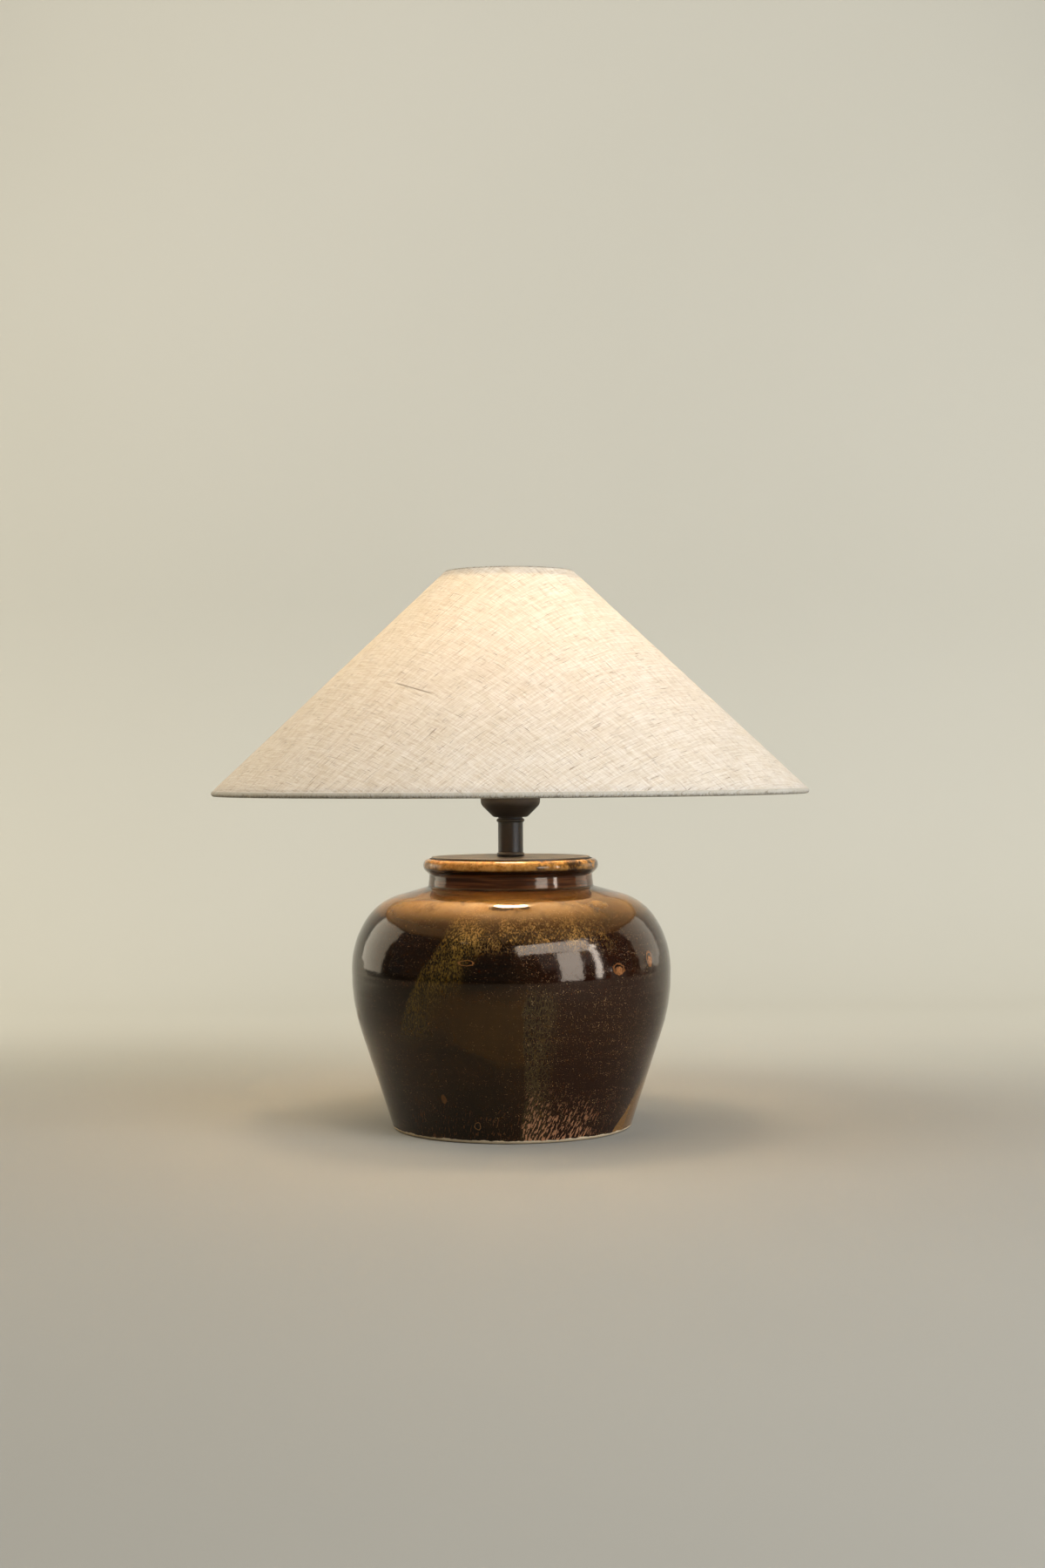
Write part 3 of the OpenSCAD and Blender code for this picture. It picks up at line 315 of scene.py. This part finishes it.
def linen(lit):
    s = Shader("linen_cover")
    r = s.math("SQRT", s.add(s.mul(s.x, s.x), s.mul(s.y, s.y)))
    phi = s.math("ARCTAN2", s.x, s.mul(s.y, -1.0))
    cone = float(FACE_N[1])
    along = s.math("DIVIDE", r, cone)
    turn = s.mul(phi, cone)
    fx = s.mul(along, s.math("SINE", turn))
    fy = s.mul(along, s.math("COSINE", turn))
    diagonal = math.sqrt(0.5)
    a = s.mul(s.add(fx, fy), diagonal)
    b = s.mul(s.math("SUBTRACT", fx, fy), diagonal)
    warp = s.node("ShaderNodeTexNoise", {"Vector": s.mm, "Scale": 0.018, "Detail": 2.0}).outputs["Color"]
    wv = s.vec("SUBTRACT", warp, (0.5, 0.5, 0.5))
    wander = s.node("ShaderNodeSeparateXYZ", {"Vector": wv}).outputs
    a = s.add(a, s.mul(wander[0], 4.0))
    b = s.add(b, s.mul(wander[1], 4.0))

    def threads(across, run, pitch, length, seed, lo, hi):
        v = s.join(s.math("DIVIDE", across, pitch), s.math("DIVIDE", run, length), seed)
        return s.step(s.noise(1.0, 1.0, 0.5, at=v), lo, hi)

    def both_ways(pitch, length, seed, lo, hi, join="MAXIMUM"):
        one = threads(a, b, pitch, length, seed, lo, hi)
        return s.math(join, one, threads(b, a, pitch, length, seed + 4.6, lo, hi))

    # Threads both ways: short dark slubs, the fine weave, a wider cross-hatch, and a few darker slubs
    slub = both_ways(0.55, 10, 3.1, 0.61, 0.7)
    fine = both_ways(0.9, 28, 12.3, 0.34, 0.66, "ADD")
    hatch = both_ways(1.7, 36, 51.7, 0.4, 0.66, "ADD")
    rare = both_ways(0.6, 16, 31.3, 0.69, 0.74)
    wave = 2 * math.pi / THREAD_PAIR
    weave = s.mul(s.math("SINE", s.mul(a, wave)), s.math("SINE", s.mul(b, wave)))
    colour = s.mix(s.mul(fine, 0.5), srgb(236, 228, 218), srgb(206, 191, 171))
    colour = s.mix(s.mul(hatch, 0.15), colour, srgb(202, 182, 152))
    colour = s.mix(s.mul(slub, 0.55), colour, srgb(190, 168, 138))
    colour = s.mix(s.mul(rare, 0.85), colour, srgb(104, 82, 56))
    # One thick dark slub on the front, left of the middle
    mark_x = s.add(s.x, 74.0)
    mark_z = s.add(s.mul(mark_x, 0.31), s.math("SUBTRACT", s.z, 363.5))
    mark = s.mul(s.step(s.math("ABSOLUTE", mark_z), 0.75, 0.3), s.step(s.math("ABSOLUTE", mark_x), 16, 12))
    mark = s.mul(mark, s.step(s.y, 0, -10))
    colour = s.mix(s.mul(mark, 0.75), colour, srgb(96, 72, 46))
    colour = s.mix(s.mul(s.step(weave, 0.2, -0.9), 0.1), colour, srgb(150, 130, 104))
    # Greyer over both wires, partly painted shade where the wires keep the glow off the cloth; darker and
    # hairy along the very edge, frayed threads with painted shade on the rolls
    hem = s.math("MAXIMUM", s.step(s.z, 283.6, 282.7), s.step(s.z, 464.4, 465.6))
    colour = s.mix(s.mul(hem, 0.5), colour, srgb(186, 180, 158))
    # frayed threads along both edges, with painted shade where the rolls over the wires get no glow
    very_edge = s.math("MAXIMUM", s.step(s.z, 281.4, 279.6), s.step(s.z, 464.8, 465.8))
    fray_and_edge_shade = s.mul(very_edge, s.step(s.noise(1.2, 2, 0.7, stretch=(1, 1, 0.4)), 0.44, 0.6))
    colour = s.mix(s.mul(fray_and_edge_shade, 0.7), colour, srgb(88, 80, 58))
    height = s.add(s.mul(weave, 0.25), s.add(s.mul(slub, 0.7), s.mul(fine, 0.3)))
    normal = s.bump(height, 0.12, 0.8)
    front = s.principled(
        Base_Color=colour, Roughness=0.92, Normal=normal, Sheen_Weight=0.1, Sheen_Roughness=0.5)
    through = s.mix(0.5, srgb(232, 236, 220), colour, "MULTIPLY")
    through = s.mix(s.mul(s.math("MAXIMUM", slub, rare), 0.45), through, srgb(150, 110, 66))
    # painted shade: less light through the cloth where it wraps both wires
    through = s.mix(s.mul(hem, 0.85), through, srgb(60, 56, 44))
    back = s.node("ShaderNodeBsdfTranslucent", {"Color": through, "Normal": normal}).outputs[0]
    both = s.node("ShaderNodeMixShader", {0: lit, 1: front, 2: back}).outputs[0]
    return s.finish(both)


def lining(lit):
    s = Shader("styrene_lining")
    tone = s.noise(24, 3, 0.6)
    colour = s.mix(tone, srgb(244, 238, 224), srgb(249, 244, 232))
    normal = s.bump(s.noise(1.2, 2, 0.5), 0.02)
    front = s.principled(
        Base_Color=colour, Roughness=s.add(s.mul(s.noise(8, 2), 0.12), 0.42), Normal=normal)
    back = s.node("ShaderNodeBsdfTranslucent", {"Color": colour}).outputs[0]
    return s.finish(s.node("ShaderNodeMixShader", {0: lit, 1: front, 2: back}).outputs[0])


# Hard materials, each with its own grain
def satin_paint(name, dark, light, rough, peel=0.012):
    s = Shader(name)
    n = s.noise(1.4, 3, 0.6)
    wear = s.noise(14, 4, 0.6)
    return s.finish(s.principled(
        Base_Color=s.mix(wear, dark, light), Roughness=s.add(s.mul(wear, 0.12), rough),
        Normal=s.bump(n, peel), IOR=1.5))


def metal(name, low, high, rough, grain=(1, 1, 1)):
    s = Shader(name)
    lines = s.noise(1.2, 3, 0.6, stretch=grain)
    stain = s.noise(9, 3, 0.6)
    return s.finish(s.principled(
        Base_Color=s.mix(stain, low, high), Metallic=1.0,
        Roughness=s.add(s.mul(lines, 0.16), rough), Normal=s.bump(lines, 0.006)))


def soft_plastic(name, low, high, rough, bump=0.015, ior=1.48):
    s = Shader(name)
    n = s.noise(0.6, 2, 0.6)
    return s.finish(s.principled(
        Base_Color=s.mix(s.noise(11, 3), low, high), Roughness=s.add(s.mul(n, 0.12), rough),
        Normal=s.bump(n, bump), IOR=ior))


def wood():
    s = Shader("raw_wood")
    rings = s.node("ShaderNodeTexWave", {
        "Vector": s.vec("MULTIPLY", s.mm, (1, 0.08, 1)), "Scale": 0.09, "Distortion": 3.0, "Detail": 3.0,
        "Detail Scale": 0.4}, wave_type="BANDS").outputs[1]
    grain = s.noise(1.6, 4, 0.7, stretch=(1, 0.05, 1))
    colour = s.mix(rings, srgb(168, 128, 84), srgb(202, 166, 118))
    colour = s.mix(s.mul(grain, 0.5), colour, srgb(120, 86, 52))
    return s.finish(s.principled(
        Base_Color=colour, Roughness=s.add(s.mul(grain, 0.2), 0.6), Normal=s.bump(grain, 0.08)))


BULB_LIGHT = (1.0, 0.74, 0.49, 1)


def opal(strength):
    s = Shader("lit_opal_glass")
    frost = s.noise(0.5, 2, 0.5)
    crown = s.step(s.z, 318, 350)
    tint = s.mix(crown, (1.0, 0.6, 0.3, 1), BULB_LIGHT)
    return s.finish(s.principled(
        Base_Color=s.mix(s.noise(20, 2), srgb(246, 240, 228), srgb(252, 248, 240)), Roughness=0.3,
        Normal=s.bump(frost, 0.004), Emission_Color=tint, Emission_Strength=strength))


def phosphor():
    s = Shader("phosphor")
    return s.finish(s.principled(
        Base_Color=s.mix(s.noise(0.4, 2), srgb(250, 214, 120), srgb(255, 226, 150)), Roughness=0.6,
        Emission_Color=(1.0, 0.7, 0.3, 1), Emission_Strength=2.0))


def clear_glass():
    s = Shader("stem_glass")
    return s.finish(s.principled(
        Base_Color=s.mix(s.noise(6, 2), srgb(232, 240, 240), srgb(246, 250, 250)), Roughness=0.05,
        Transmission_Weight=1.0, IOR=1.5))


GLAZE = glaze()
BLACK = satin_paint("pole_enamel", srgb(20, 16, 11), srgb(32, 26, 18), 0.36)
looks = {
    "cord_grommet": soft_plastic("grommet_rubber", srgb(24, 23, 22), srgb(36, 34, 33), 0.62, 0.03),
    "clamp_pads": soft_plastic("pad_rubber", srgb(30, 29, 28), srgb(42, 40, 38), 0.7, 0.04),
    "cover_plate": satin_paint("plate_enamel", srgb(34, 29, 24), srgb(48, 41, 33), 0.3),
    "centring_disc": wood(),
    "clamp_bar": metal("rolled_steel", srgb(170, 171, 174), srgb(196, 197, 199), 0.3, (0.05, 1, 1)),
    "clamp_washer": metal("zinc_washer", srgb(182, 184, 188), srgb(206, 207, 210), 0.26),
    "clamp_nut": metal("zinc_nut", srgb(176, 178, 182), srgb(204, 205, 208), 0.28),
    "threaded_tube": metal("tube_brass", srgb(176, 146, 84), srgb(204, 174, 108), 0.26, (1, 1, 0.2)),
    "lower_pole_ring": BLACK,
    "pole": BLACK,
    "upper_pole_ring": BLACK,
    "holder_cup": satin_paint("cup_enamel", srgb(27, 22, 16), srgb(42, 34, 25), 0.5, 0.02),
    "holder_dome": soft_plastic("holder_moulding", srgb(26, 25, 24), srgb(38, 36, 34), 0.42),
    "holder_skirt": soft_plastic("skirt_moulding", srgb(26, 25, 24), srgb(38, 36, 34), 0.44),
    "lower_shade_ring": soft_plastic("ring_moulding", srgb(27, 26, 25), srgb(40, 38, 36), 0.4),
    "contact_block": soft_plastic("porcelain", srgb(226, 221, 208), srgb(238, 234, 224), 0.5, 0.01, 1.55),
    "terminal_screws": metal("screw_brass", srgb(196, 160, 86), srgb(224, 190, 116), 0.22),
    "side_contact": metal("strip_brass", srgb(200, 164, 90), srgb(226, 192, 118), 0.2, (1, 1, 0.15)),
    "centre_contact": metal("contact_brass", srgb(200, 164, 90), srgb(226, 192, 118), 0.2),
    "contact_spring": metal("spring_wire", srgb(160, 162, 168), srgb(190, 192, 198), 0.2),
    "contact_clip": metal("clip_steel", srgb(160, 162, 168), srgb(190, 192, 198), 0.26),
    "bulb_tip": metal("tip_solder", srgb(176, 176, 174), srgb(204, 203, 200), 0.3),
    "bulb_cap": metal("cap_nickel", srgb(192, 190, 184), srgb(218, 216, 210), 0.18, (1, 1, 0.3)),
    "bulb_insulator": soft_plastic("black_vitrite", srgb(14, 13, 14), srgb(24, 23, 24), 0.12, 0.004, 1.55),
    "bulb_glass": opal(76.0),
    "bulb_stem": clear_glass(),
    "light_filaments": phosphor(),
    "fitter_ring": satin_paint("frame_white", srgb(226, 222, 212), srgb(238, 235, 226), 0.4, 0.02),
}
looks["upper_shade_ring"] = looks["lower_shade_ring"]
for name in ("spider_arms", "top_wire", "hem_wire"):
    looks[name] = looks["fitter_ring"]
for name, mat in looks.items():
    mesh = NODES[name].data
    mesh.materials.clear()
    mesh.materials.append(mat)


def new_object(name, verts, faces, mat, smooth=True):
    mesh = bpy.data.meshes.new(name)
    mesh.from_pydata([tuple(v) for v in verts], [], [tuple(f) for f in faces])
    mesh.update()
    if smooth:
        mesh.polygons.foreach_set("use_smooth", [True] * len(mesh.polygons))
    obj = bpy.data.objects.new(name, mesh)
    mesh.materials.append(mat)
    bpy.context.scene.collection.objects.link(obj)
    return obj


def arc(c, r, a0, a1, n):
    a = np.radians(np.linspace(a0, a1, n))
    return np.c_[c[0] + r * np.cos(a), c[1] + r * np.sin(a)]


def resample(points, step):
    """Points about a step apart along the line, its corners kept."""
    out = [points[0]]
    for p, q in zip(points[:-1], points[1:]):
        n = max(1, int(round(np.hypot(*(q - p)) / step)))
        out += [p + (q - p) * (i + 1) / n for i in range(n)]
    return np.array(out)


# The jar's two faces, from the same sizes as its solid, in mm
BELLY_R, BELLY_Z, BAND, LEAN = 134.0, 127.8, 5.0, 18.4
LOW_R, MID_R, MID_END, TOP_R, TOP_END = 149.5, 75.7, 34.0, 48.8, 74.2
NECK_R, NECK_FILLET, NECK_TO_LIP, WAIST_R = 69.3, 2.2, 17.6, 68.4
LIP_R, LIP_OUT, LIP_UNDER = 5.6, 73.9, 48.0
MOUTH_R, MOUTH_ROUND, WALL = 62.4, 2.1, 8.0
FLOOR, FLOOR_ROUND = 15.0, 16.0
FOOT_IN, FOOT_UP, FOOT_RING, FOOT_HOLLOW = 3.9, 4.0, 12.0, 5.0
INLET_Z, INLET_CUT = 26.0, 7.3
low_c = np.array((BELLY_R - LOW_R, BELLY_Z))
mid_c = np.array((BELLY_R - MID_R, BELLY_Z + BAND))
top_c = arc(mid_c, MID_R - TOP_R, MID_END, MID_END, 1)[0]


def body_curve(t):
    return np.vstack([arc(low_c, LOW_R - t, -LEAN, 0, 40), arc(mid_c, MID_R - t, 0, MID_END, 30),
                      arc(top_c, TOP_R - t, MID_END, TOP_END, 26)[1:]])


def wall_r(z, t=0.0):
    p = body_curve(t)[0]
    return p[0] - (p[1] - z) * math.tan(math.radians(LEAN))


def shoulder_z(r, t=0.0):
    p = body_curve(t)[-1]
    return p[1] + (p[0] - r) / math.tan(math.radians(TOP_END))


lip_z = shoulder_z(NECK_R) + NECK_TO_LIP
fillet_r = NECK_R + NECK_FILLET
fillet = np.array((fillet_r, shoulder_z(fillet_r) + NECK_FILLET / math.sin(math.radians(TOP_END))))
lip_c = np.array((LIP_OUT - LIP_R, lip_z))
lip_low = arc(lip_c, LIP_R, -LIP_UNDER, -LIP_UNDER, 1)[0]
lip_join = np.array((WAIST_R, lip_low[1] - (lip_low[0] - WAIST_R) / math.tan(math.radians(LIP_UNDER))))
foot_r = wall_r(FOOT_UP)
round_in = np.radians(np.arange(0, 91, 7.5))
foot = np.c_[foot_r - FOOT_IN * (1 - np.sin(round_in)), FOOT_UP * (1 - np.cos(round_in))]
outside = np.vstack([foot, body_curve(0), arc(fillet, NECK_FILLET, TOP_END + 180, 180, 9), [lip_join],
                     arc(lip_c, LIP_R, -LIP_UNDER, 90, 22)])
ring_out, ring_in = foot_r - FOOT_IN, foot_r - FOOT_IN - FOOT_RING
base_line = np.array([(0.0, FOOT_HOLLOW), (ring_in, FOOT_HOLLOW), (ring_in, 0.0), (ring_out, 0.0)])
corner_in = np.radians(np.arange(0, 91, 15))
floor_corner = np.c_[wall_r(FLOOR + FLOOR_ROUND, WALL) - FLOOR_ROUND * (1 - np.cos(corner_in)),
                     FLOOR + FLOOR_ROUND * (1 - np.sin(corner_in))]
mouth_c = (MOUTH_R + MOUTH_ROUND, lip_z + LIP_R - MOUTH_ROUND)
inside = np.vstack([arc(mouth_c, MOUTH_ROUND, 90, 180, 8), [(MOUTH_R, shoulder_z(MOUTH_R, WALL))],
                    body_curve(WALL)[::-1], floor_corner, [(0.0, FLOOR)]])
inlet = np.array((0.0, wall_r(INLET_Z), INLET_Z))
inlet_axis = np.array((0.0, math.cos(math.radians(LEAN)), -math.sin(math.radians(LEAN))))


def turned(profile, columns, move=None):
    """A revolved surface; move changes the (radius, height) of each point by its angle."""
    ang = np.linspace(-math.pi, math.pi, columns, endpoint=False)
    r, z = profile[:, 0][:, None] + 0 * ang, profile[:, 1][:, None] + 0 * ang
    if move is not None:
        r, z = move(r, z, ang[None, :])
    x, y = r * np.sin(ang), -r * np.cos(ang)
    verts = np.stack([x, y, z], -1).reshape(-1, 3)
    i, j = np.meshgrid(np.arange(len(profile) - 1), np.arange(columns), indexing="ij")
    k = (j + 1) % columns
    faces = np.stack([i * columns + j, i * columns + k, (i + 1) * columns + k, (i + 1) * columns + j], -1)
    return verts, faces.reshape(-1, 4)


# Raised blisters: place round the belly, height, half width, half height and rise
BLISTERS = (
    (88, 140, 6.4, 4.6, 0.75), (126, 145, 5, 5.6, 0.7), (-33, 147.5, 6.4, 2.2, 0.45),
    (-168, 96, 5, 4, 0.5), (262, 120, 6, 4, 0.6), (-63, 36, 2.6, 3.4, 0.3), (20, 92, 9, 3, 0.25),
    (-2, 190.4, 17, 1.5, 0.3))


def thrown(r, z, a):
    """The potter's hand: a slow wobble, throwing lines, and small raised blisters."""
    side = np.clip((z - 6) / 14, 0, 1) * np.clip((197 - z) / 8, 0, 1)
    wobble = 0.28 * np.sin(2 * a + 0.7 + z / 60) + 0.16 * np.sin(3 * a - 1.2 - z / 35)
    wobble = wobble + 0.08 * np.sin(5 * a + z / 18)
    lines = 0.05 * np.sin(z / 2.3 + 1.4 * np.sin(z / 17 + a)) + 0.02 * np.sin(z / 1.15 + np.sin(z / 9 + a))
    d = side * (wobble + lines * np.clip((z - 20) / 40, 0.35, 1) * np.clip((188 - z) / 30, 0.3, 1))
    u = AROUND * a
    for u0, z0, ru, rz, h in BLISTERS:
        q = ((u - u0) / ru) ** 2 + ((z - z0) / rz) ** 2
        d = d + h * (np.exp(-q) - 0.7 * np.exp(-q * 5))
    q = np.hypot((u + 33) / 3.0, (z - 15) / 3.0)
    d = d + 0.3 * np.exp(-((q - 0.85) / 0.25) ** 2)
    waist = np.exp(-((z - 209) / 5.0) ** 2)
    d = d + waist * (0.12 * np.sin(3 * a + 1) + 0.1 * np.sin(z / 0.9))
    lip = np.clip((z - 213) / 3, 0, 1) * np.clip((223 - z) / 2, 0, 1)
    d = d + lip * (0.14 * np.sin(2 * a + 2) + 0.1 * np.sin(7 * a) - 0.2)
    foot_wave = np.clip(1 - z / 4, 0, 1) * (0.2 * np.sin(4 * a) + 0.15 * np.sin(9 * a + 1) - 0.2)
    return r + d + foot_wave, z


def drilled(verts, faces):
    """Leaves out what lies within the hole for the lead; the grommet's flange covers the edge."""
    mid = verts[faces].mean(1) - inlet
    off = np.linalg.norm(mid - (mid @ inlet_axis)[:, None] * inlet_axis, axis=1)
    return faces[~((off < INLET_CUT) & (mid[:, 1] > -40))]


def make_jar():
    columns = 360
    rows = np.vstack([base_line[:-1], resample(outside, 1.0)])
    verts_o, faces_o = turned(rows, columns, thrown)
    verts_i, faces_i = turned(resample(inside, 4.0), columns)
    faces_o, faces_i = drilled(verts_o, faces_o), drilled(verts_i, faces_i)
    verts = np.vstack([verts_o, verts_i]) / 1000
    faces = np.vstack([faces_o, faces_i + len(verts_o)])
    jar = new_object("glazed_jar", verts, faces, GLAZE)
    bm = bmesh.new()
    bm.from_mesh(jar.data)
    bmesh.ops.remove_doubles(bm, verts=bm.verts, dist=2e-5)
    bmesh.ops.delete(bm, geom=[v for v in bm.verts if not v.link_faces], context="VERTS")
    bmesh.ops.recalc_face_normals(bm, faces=bm.faces)
    bm.to_mesh(jar.data)
    bm.free()
    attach(jar, "base")
    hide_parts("jar")


make_jar()

# One sheet of linen, rolled round both wires, over a stiff lining
hem_p = HEM_C + (HEM_W + LINEN_T + SLIP) * FACE_N
top_p = TOP_C + (TOP_W + LINEN_T + SLIP) * FACE_N


def edge_roll(w, n):
    c, r = np.array((0.0, w + LINEN_T + SLIP)), w + SLIP + LINEN_T / 2
    e = np.array((TURN_IN, LINEN_T + LINING_T + 2 * SLIP + LINEN_T / 2))
    v = e - c
    end = math.degrees(math.atan2(v[1], v[0]) + math.acos(r / np.hypot(*v))) - 360
    return np.vstack([arc(c, r, -90, end, n), [e]])


def on_hem(q):
    return hem_p + q[:, :1] * FACE_UP - q[:, 1:] * FACE_N


def on_top(q):
    return top_p - q[:, :1] * FACE_UP - q[:, 1:] * FACE_N


def make_shade(linen_mat, lining_mat):
    hem, top = on_hem(edge_roll(HEM_W, 22)), on_top(edge_roll(TOP_W, 18))
    near_hem = on_hem(np.array([(q, 0.3) for q in (0.5, 0.9, 1.3, 1.7, 2.2, 2.8, 4.0, 7.0, 12.0)]))
    slope = resample(np.vstack([near_hem[-1:], top[:1]]), 12.0)
    line = np.vstack([resample(hem[::-1], 12.0), near_hem[:-1], slope, top[1:]])
    columns = 240

    def cloth(r, z, a):
        """Tiny unevenness of the glued cloth, and the groove above the hem's roll."""
        clear_of_rolls = np.clip((z - 284) / 12, 0, 1) * np.clip((463 - z) / 8, 0, 1)
        d = clear_of_rolls * (0.1 * np.sin(7 * a + z / 21) + 0.08 * np.sin(11 * a - z / 33))
        up_slope = (z - hem_p[1]) / FACE_UP[1]
        by_hem = r > 235
        d = d - np.where(by_hem, 0.4 * np.exp(-((up_slope - 1.5) / 0.75) ** 2), 0)
        outward = (0.68, 0.73)
        return r + d * outward[0], z + d * outward[1]

    verts, faces = turned(line, columns, cloth)
    sheet = new_object("linen_cover", verts / 1000, faces, linen_mat)
    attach(sheet, "shade")
    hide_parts("shade_linen")
    depth = LINEN_T + SLIP + LINING_T / 2
    ends = np.vstack([on_hem(np.array([(HEM_W + 0.1, depth)])), on_top(np.array([(TOP_W + 0.1, depth)]))])
    verts, faces = turned(resample(ends, 14.0), columns)
    inner = new_object("styrene_lining", verts / 1000, faces, lining_mat)
    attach(inner, "shade")
    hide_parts("shade_lining")


make_shade(linen(0.32), lining(0.34))


# A lapped seam down the back of the shade, one more layer of the same linen
def make_seam(mat):
    half, edge, thick, tuck = 5.5, 0.6, 0.42, 0.05
    across = (-half, edge - half, 0.0, half - edge, half)
    last = len(across) - 1
    end = np.array([(1.0, -0.02)])
    rows = resample(np.vstack([on_hem(end), on_top(end)]), 12.0)
    verts, faces = [], []
    for i, (r, z) in enumerate(rows):
        for j, off in enumerate(across):
            lift = thick if 0 < j < last else tuck
            a = math.pi + off / r
            rr, zz = r + lift * FACE_N[0], z + lift * FACE_N[1]
            verts.append((rr * math.sin(a), -rr * math.cos(a), zz))
        if i:
            for j in range(last):
                k = (i - 1) * len(across) + j
                faces.append((k, k + 1, k + 1 + len(across), k + len(across)))
    seam = new_object("linen_seam", np.array(verts) / 1000, faces, mat)
    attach(seam, "shade")


make_seam(bpy.data.materials["linen_cover"])


# Floor and backdrop in one pale sweep
def make_sweep():
    s = Shader("pale_backdrop")
    tone = s.noise(900, 3, 0.5)
    far = s.mix(tone, srgb(182, 179, 165), srgb(191, 188, 176))
    near = s.mix(tone, srgb(136, 133, 123), srgb(144, 141, 131))
    colour = s.mix(s.step(s.y, 0, 900), near, far)
    mat = s.finish(s.principled(Base_Color=colour, Roughness=0.85, Normal=s.bump(s.noise(5, 3), 0.05)))
    reach, floor_end, bend, height, gap = 12.0, 0.95, 0.55, 3.6, 0.0002
    line = [(-reach, 0.0), (floor_end, 0.0)]
    line += [tuple(p) for p in arc((floor_end, bend), bend, -84, 0, 15)]
    line += [(floor_end + bend, height)]
    verts = [(x, y, z - gap) for y, z in line for x in (-reach, reach)]
    faces = [(2 * i, 2 * i + 1, 2 * i + 3, 2 * i + 2) for i in range(len(line) - 1)]
    new_object("sweep", verts, faces, mat)


make_sweep()


def area_light(name, place, aim, size, radiance, colour=(1, 1, 1)):
    data = bpy.data.lights.new(name, "AREA")
    data.shape, data.size, data.size_y = "RECTANGLE", size[0], size[1]
    data.color = colour
    # a rectangle of this radiance gives pi times radiance times its area, in watts
    data.energy = radiance * math.pi * size[0] * size[1]
    lamp = bpy.data.objects.new(name, data)
    lamp.location = place
    ahead = (Vector(aim) - Vector(place)).normalized()
    lamp.rotation_euler = ahead.to_track_quat("-Z", "Y").to_euler()
    bpy.context.scene.collection.objects.link(lamp)


def window(name, azimuth, elevation, size, radiance, colour=(1, 1, 1), distance=2.4):
    """A lamp seen from the belly's front at an azimuth to the right of the camera and an elevation."""
    a, e = math.radians(azimuth), math.radians(elevation)
    belly = Vector((0.04, -0.12, 0.15))
    place = belly + distance * Vector((math.sin(a) * math.cos(e), -math.cos(a) * math.cos(e), math.sin(e)))
    area_light(name, place, belly, size, radiance, colour)


window("window_top", 35, 36, (2.3, 0.5), 8.3, (0.86, 0.91, 1.0))
window("window_left", 45, 14, (0.75, 1.3), 9.0, (0.86, 0.91, 1.0))
window("window_right", 67, 14, (0.2, 1.3), 17.5, (0.86, 0.91, 1.0))
window("window_haze", 47, 27, (2.4, 1.7), 0.55, (0.86, 0.9, 1.0), 2.6)
area_light("softbox", (-0.4, -0.8, 2.4), (0.0, 0.5, 0.45), (2.8, 1.3), 0.7, (0.98, 0.99, 1.0))
area_light("wall_wash", (0.0, 0.35, 2.7), (0.0, 1.5, 0.9), (4.0, 0.6), 1.45, (1.0, 0.98, 0.94))
area_light("left_panel", (-1.5, 0.8, 0.95), (0, 0, 0.2), (1.1, 1.9), 2.0, (1.0, 0.93, 0.76))
area_light("left_fill", (-1.55, -0.95, 2.75), (0, 0, 0.3), (2.0, 1.5), 5.0, (1.0, 0.9, 0.76))
area_light("right_panel", (1.5, 0.8, 0.95), (0, 0, 0.2), (1.1, 1.9), 1.15, (1.0, 0.94, 0.8))

world = bpy.data.worlds.new("studio")
bpy.context.scene.world = world
world.use_nodes = True
sky = world.node_tree.nodes["Background"].inputs
sky["Color"].default_value = (0.9, 0.88, 0.84, 1)
sky["Strength"].default_value = 0.14
